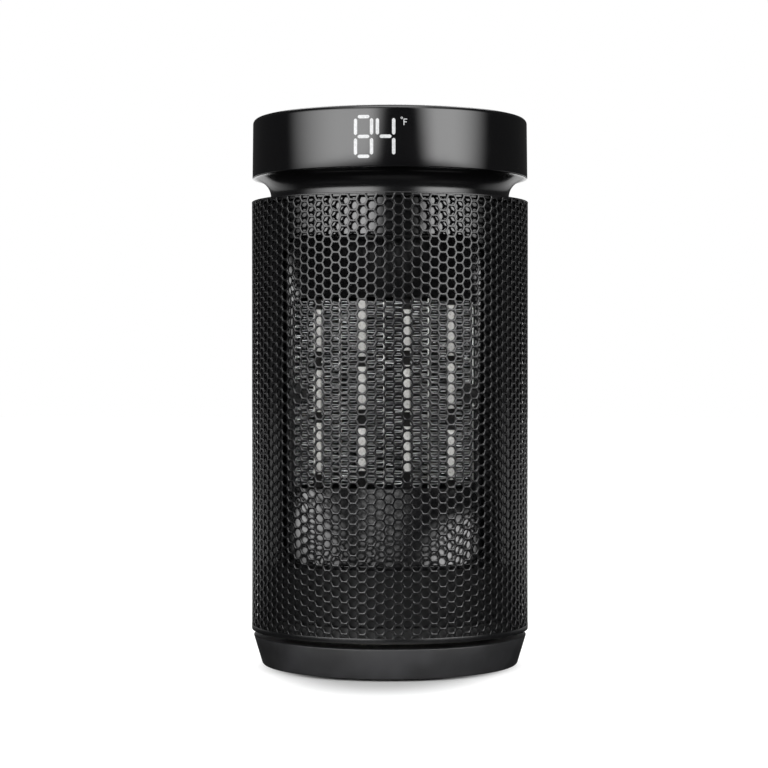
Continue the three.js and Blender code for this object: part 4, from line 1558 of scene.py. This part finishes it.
@dataclass
class HeatingElement:
    """The ceramic element: frame, columns of stones, folded fins and contact strips."""

    rail: float = 2.2
    lug_half: float = 5.0
    fold: float = 3.0
    foil: float = 0.38
    crest: float = 0.5
    bend: Pair = (0.35, 0.25)
    dent_mm: float = 0.14
    crumple_mm: float = 0.5
    crumple_share: float = 0.07
    seed: int = 7

    def build(self) -> None:
        """Builds the element's pieces."""
        self.frame()
        for i in range(1, 5):
            self.column(i)
            for j, side in enumerate(("left", "right")):
                self.fins(f"ptc_fin_{i}_{side}", self.seed + 2 * i + j)
        for i in range(1, 6):
            self.strip(f"ptc_strip_{i}")

    def frame(self) -> None:
        """Builds the frame with a screwed lug halfway up each side."""
        low, high = span("ptc_frame")
        rim = plate("element_frame", (low.x, high.x), (low.y, high.y), (low.z, high.z), 2.0, self.rail)
        rounded(rim, 0.4, 2)
        parts = [rim]
        for side in (-1, 1):
            lug = plate("lug", (-self.lug_half, self.lug_half), (low.y - 1.6, low.y - 0.2), (-5.5, 5.5), 2.4)
            rounded(lug, 0.3, 2)
            seat = shift(side * (high.x - 5.2), 0, (low.z + high.z) / 2)
            parts += [moved(lug, seat), moved(self.screw(), seat @ shift(0, low.y - 1.5, 0))]
        piece = joined("element_frame", [dressed(part, FRAME_BLACK) for part in parts])
        mounted(tidied(piece, 40), Body.HEAD, "dark_plastic", "ptc_frame")

    @staticmethod
    def screw() -> Piece:
        """Turns a pan head with a cross recess.

        Returns:
            The head, facing -Y from y = 0.
        """
        head = turned("screw", [(0, 0), (2.9, 0), (2.9, 0.5), *arc((1.9, 0.5), 1.0, 0, 90, 4), (0, 1.7)], 32)
        for wide, deep in ((1.3, 0.25), (0.25, 1.3)):
            cut(head, box("cross", (-wide, -deep, 0.9), (wide, deep, 3), 0.05, 1))
        return moved(head, quarter("X"))

    @staticmethod
    def column(number: int) -> None:
        """Builds one column: three stones on their dark carrier.

        Args:
            number: The column's number, from 1 at the left.
        """
        node = f"ptc_stones_{number}"
        low, high = span(node)
        carrier = box("carrier", (low.x + 0.3, low.y + 5, low.z), (high.x - 0.3, high.y, high.z), 0.2)
        parts = [dressed(carrier, CARRIER)]
        for bottom, top in STONE_ROWS[number - 1]:
            stone = box("stone", (low.x + 0.05, low.y, bottom), (high.x - 0.05, high.y - 3, top), 0.35)
            parts.append(dressed(stone, STONE))
        mounted(joined(f"stone_column_{number}", parts), Body.HEAD, "ptc_ceramic", node)

    def fins(self, node: str, seed: int) -> None:
        """Folds one strip of foil to and fro, with small dents in it.

        Args:
            node: The CAD node that it stands for.
            seed: Seed of the dents.
        """
        low, high = span(node)
        bottom, top = (corner.z for corner in span("ptc_stones_1"))
        rest_tools()
        bpy.ops.mesh.primitive_plane_add(size=MM)
        piece = started(node + "_foil")
        bpy.ops.mesh.merge(type="CENTER")
        bpy.ops.transform.translate(value=(low.x * MM, low.y * MM, 0))
        width, (bend_x, bend_z) = high.x - low.x, self.bend
        lean = self.fold / 2 - 2 * self.crest
        across = width - 2 * bend_x
        route = [(0, self.crest), (bend_x, bend_z), (across, lean), (bend_x, bend_z),
                 (0, 2 * self.crest - 2 * bend_z), (-bend_x, bend_z), (-across, lean), (-bend_x, bend_z),
                 (0, self.crest - 2 * bend_z)]
        for dx, dz in route:
            bpy.ops.mesh.extrude_vertices_move(TRANSFORM_OT_translate={"value": (dx * MM, 0, dz * MM)})
        bpy.ops.mesh.select_all(action="SELECT")
        bpy.ops.mesh.extrude_edges_move(TRANSFORM_OT_translate={"value": (0, (high.y - low.y) * MM, 0)})
        bpy.ops.object.mode_set(mode="OBJECT")
        rise = max(v.co.z for v in piece.data.vertices) / MM
        folds = int((top - bottom - 1.0) / rise)
        modified(piece, "ARRAY", count=folds, use_relative_offset=False, use_constant_offset=True,
                 constant_offset_displace=(0, 0, rise * MM), use_merge_vertices=True,
                 merge_threshold=WELD_MM * MM)
        moved(piece, shift(0, 0, (bottom + top - folds * rise) / 2))
        self.dent(piece, random.Random(seed), low.y)
        modified(piece, "SOLIDIFY", thickness=self.foil * MM, offset=0.0)
        mounted(dressed(tidied(piece, 50), FIN), Body.HEAD, "fin_aluminium", node)

    def dent(self, piece: Piece, chance: random.Random, front: float) -> None:
        """Pushes the foil's front edge up and down a little, as handling does.

        Args:
            piece: The folded sheet.
            chance: Source of the dents.
            front: Where the front edge lies, in mm.
        """
        for v in piece.data.vertices:
            if v.co.y / MM < front + 0.1:
                lift = self.crumple_mm if chance.random() < self.crumple_share else self.dent_mm
                v.co.z += chance.uniform(-lift, lift) * MM
                v.co.y += chance.uniform(0.0, 0.5) * MM

    @staticmethod
    def strip(node: str) -> None:
        """Makes one contact strip with rounded edges.

        Args:
            node: The CAD node that it stands for.
        """
        low, high = span(node)
        side, edge = 0.15, 0.12
        blade = box(node + "_blade", (low.x + side, low.y + 0.1, low.z),
                    (high.x - side, high.y, high.z), edge)
        mounted(dressed(blade, STRIP), Body.HEAD, "strip_steel", node)


@dataclass
class Fan:
    """The axial fan that drives the air through the element."""

    blades: int = 7
    hub_r: float = 19.8
    hub_wall: float = 1.8
    boss_r: float = 6.0
    bore: float = 2.2
    tip_r: float = 49.7
    root: float = 0.6
    sweep_deg: float = 64.0
    belly: float = 1.6
    gauge: float = 1.5

    def build(self) -> None:
        """Turns the hub and fits the overlapping blades."""
        low, high = span("fan_impeller")
        inner = self.hub_r - self.hub_wall
        hub = turned("hub", [
            (self.bore, low.y + 1.5), (self.boss_r, low.y + 1.5), (7, low.y + 0.3), (17, low.y),
            *arc((self.hub_r - 2, low.y + 2), 2, -90, 0, 5), (self.hub_r, high.y), (inner, high.y),
            (inner, low.y + 2.4), (self.boss_r, low.y + 2.4), (self.boss_r, high.y - 4),
            (self.bore, high.y - 4)], 64)
        moved(hub, quarter("X", -1))
        blade = self.blade(low.y + 1.2, high.y - 0.6)
        rows = [copied(blade, f"blade_{i}", Matrix.Rotation(TAU * i / self.blades, 4, "Y"))
                for i in range(self.blades)]
        bpy.data.objects.remove(blade)
        piece = moved(joined("impeller", [hub, *rows]), shift(0, 0, (low.z + high.z) / 2))
        mounted(dressed(tidied(piece, 40), FAN_GREY), Body.FAN, "fan_plastic", "fan_impeller")

    def blade(self, front: float, back: float) -> Piece:
        """Models one blade: a sheet that sweeps round the hub from front to back and bellies a little.

        Args:
            front: Where the blades start, in mm along Y.
            back: Where the blades end, in mm along Y.

        Returns:
            The blade, about the Y axis.
        """
        rest_tools()
        bpy.ops.mesh.primitive_grid_add(x_subdivisions=10, y_subdivisions=8, size=1)
        piece = started("blade")
        bpy.ops.object.mode_set(mode="OBJECT")
        for v in piece.data.vertices:
            across, out = v.co.x + 0.5, v.co.y + 0.5
            radius = self.hub_r - self.root + (self.tip_r - self.hub_r + self.root) * out
            trim = 0.10 * out ** 2
            turn = math.radians(self.sweep_deg) * (trim + (1 - 2 * trim) * across - 0.5 + 0.12 * out)
            belly = self.belly * math.sin(math.pi * across)
            slope = (back - front - self.gauge) * (1 - across)
            depth = front + self.gauge / 2 + slope - belly * (0.4 + 0.4 * out)
            depth = min(max(depth, front + self.gauge / 2), back - self.gauge / 2)
            v.co = Vector((radius * math.sin(turn), depth, radius * math.cos(turn))) * MM
        return modified(piece, "SOLIDIFY", thickness=self.gauge * MM, offset=0.0)


def dress_cad_nodes() -> None:
    """Gives every CAD node that still shows the finish of its slot."""
    slots = {row["node"]: row["material_slot"] for row in frame["record"]["subparts"]}
    for name, node in frame["nodes"].items():
        if not node.hide_render:
            dressed(node, SLOT_FINISH[slots[name]])


# ---------------------------------------------------------------- studio
@dataclass
class Softbox:
    """A large area light whose brightness fades towards its left, right, lower and upper edge."""

    name: str
    azimuth: float
    elevation: float
    distance: float
    width: float
    height: float
    radiance: float
    fades: tuple[float, float, float, float] = (0.0, 0.0, 0.0, 0.0)
    lift: float = 0.0
    aim_z: float = 0.16

    def build(self) -> None:
        """Adds the light, aimed at the heater's middle height."""
        data = bpy.data.lights.new(self.name, "AREA")
        data.shape = "RECTANGLE"
        data.size, data.size_y = self.width, self.height
        data.energy = self.radiance * math.pi * self.width * self.height
        lamp = bpy.data.objects.new(self.name, data)
        bpy.context.scene.collection.objects.link(lamp)
        a, e = math.radians(self.azimuth), math.radians(self.elevation)
        out = Vector((math.sin(a) * math.cos(e), -math.cos(a) * math.cos(e), math.sin(e)))
        lamp.location = out * self.distance + Vector((0, 0, self.aim_z + self.lift))
        lamp.rotation_euler = out.to_track_quat("Z", "Y").to_euler()
        lamp.visible_camera = False
        if any(self.fades):
            self.soften(data)

    def soften(self, data: bpy.types.Light) -> None:
        """Fades the light towards its edges.

        Args:
            data: The light.
        """
        data.use_nodes = True
        tree = data.node_tree
        tree.nodes.clear()
        place = add(tree, "SeparateXYZ", links={"Vector": add(tree, "NewGeometry").outputs["Parametric"]})
        strength = None
        for axis, first, last in (("X", *self.fades[:2]), ("Y", *self.fades[2:])):
            for start, full in ((0.0, first), (1.0, 1.0 - last)):
                if start == full:
                    continue
                settings = {"interpolation_type": "SMOOTHSTEP", "From Min": start, "From Max": full}
                share = add(tree, "MapRange", settings, {"Value": place.outputs[axis]})
                strength = share if strength is None else add(
                    tree, "Math", {"operation": "MULTIPLY"}, {0: strength, 1: share})
        glow = add(tree, "Emission", {"Color": WHITE}, {"Strength": strength})
        add(tree, "OutputLight", links={"Surface": glow})


@dataclass
class Studio:
    """Pale floor, white surround, softboxes and the camera."""

    azimuth: float = 4.0
    distance: float = 1296.0
    eye: float = 177.2
    sideways: float = -3.6
    pitch: float = -0.29
    lens: float = 99.6
    floor_m: float = 14.0
    dim: float = 0.04

    def build(self) -> None:
        """Builds the floor, the surround, the lights and the camera."""
        self.floor()
        self.surround()
        front, back = self.azimuth, self.azimuth + 180
        for light in (
                Softbox("softbox_left", front - 48, 22, 1.9, 3.9, 1.7, 6.9, (0.58, 0.24, 0.08, 0.7), 0.07),
                Softbox("softbox_right", front + 54, 22, 1.9, 2.7, 1.7, 7.1, (0.32, 0.56, 0.08, 0.5), 0.07),
                Softbox("front_top", front, 60, 1.9, 1.8, 1.0, 3.8, (0.2, 0.2, 0.2, 0.2)),
                Softbox("overhead", 0, 89, 2.4, 2.6, 2.6, 1.4),
                Softbox("back", back, 12, 2.0, 0.7, 1.6, 3.5, (0.4, 0.4, 0.2, 0.2)),
                Softbox("back_top", back, 52, 2.2, 2.0, 1.0, 4.5, (0.2, 0.2, 0.2, 0.2))):
            light.build()
        self.camera()
        bpy.context.scene.view_settings.view_transform = "Standard"

    def floor(self) -> None:
        """Lays the pale floor."""
        rest_tools()
        bpy.ops.mesh.primitive_plane_add(size=self.floor_m)
        floor = bpy.context.object
        floor.name = "studio_floor"
        dressed(floor, StudioPaper("Pale studio paper", "a6a6a6", 0.9, 1.3))

    def surround(self) -> None:
        """Makes a surround that is white to look at and dim in reflections."""
        world = bpy.data.worlds.new("surround")
        bpy.context.scene.world = world
        world.use_nodes = True
        tree = world.node_tree
        tree.nodes.clear()
        seen = add(tree, "LightPath").outputs["Is Camera Ray"]
        strength = add(tree, "MapRange", {"To Min": self.dim, "To Max": 1.0}, {"Value": seen})
        back = add(tree, "Background", {"Color": WHITE}, {"Strength": strength})
        add(tree, "OutputWorld", links={"Surface": back})

    def camera(self) -> None:
        """Sets the camera a little to the right of the front, nearly level."""
        data = bpy.data.cameras.new("camera")
        data.lens = self.lens
        data.sensor_width = 36
        data.clip_end = 100
        eye = bpy.data.objects.new("camera", data)
        bpy.context.scene.collection.objects.link(eye)
        a = math.radians(self.azimuth)
        back = Vector((math.sin(a), -math.cos(a), 0))
        right = Vector((math.cos(a), math.sin(a), 0))
        eye.location = (back * self.distance + right * self.sideways) * MM + Vector((0, 0, self.eye * MM))
        eye.rotation_euler = (math.radians(90 + self.pitch), 0.0, a)
        bpy.context.scene.camera = eye


def main() -> None:
    """Builds the heater's looks in order."""
    logging.basicConfig(level=logging.INFO, format="%(message)s")
    Studio().build()
    for part in (Base(), PunchedSleeve(), Cap(), Tray(), InnerHousing(), HeatingElement(), Fan()):
        part.build()
    dress_cad_nodes()
    rest_tools()


if __name__ == "__main__":
    main()
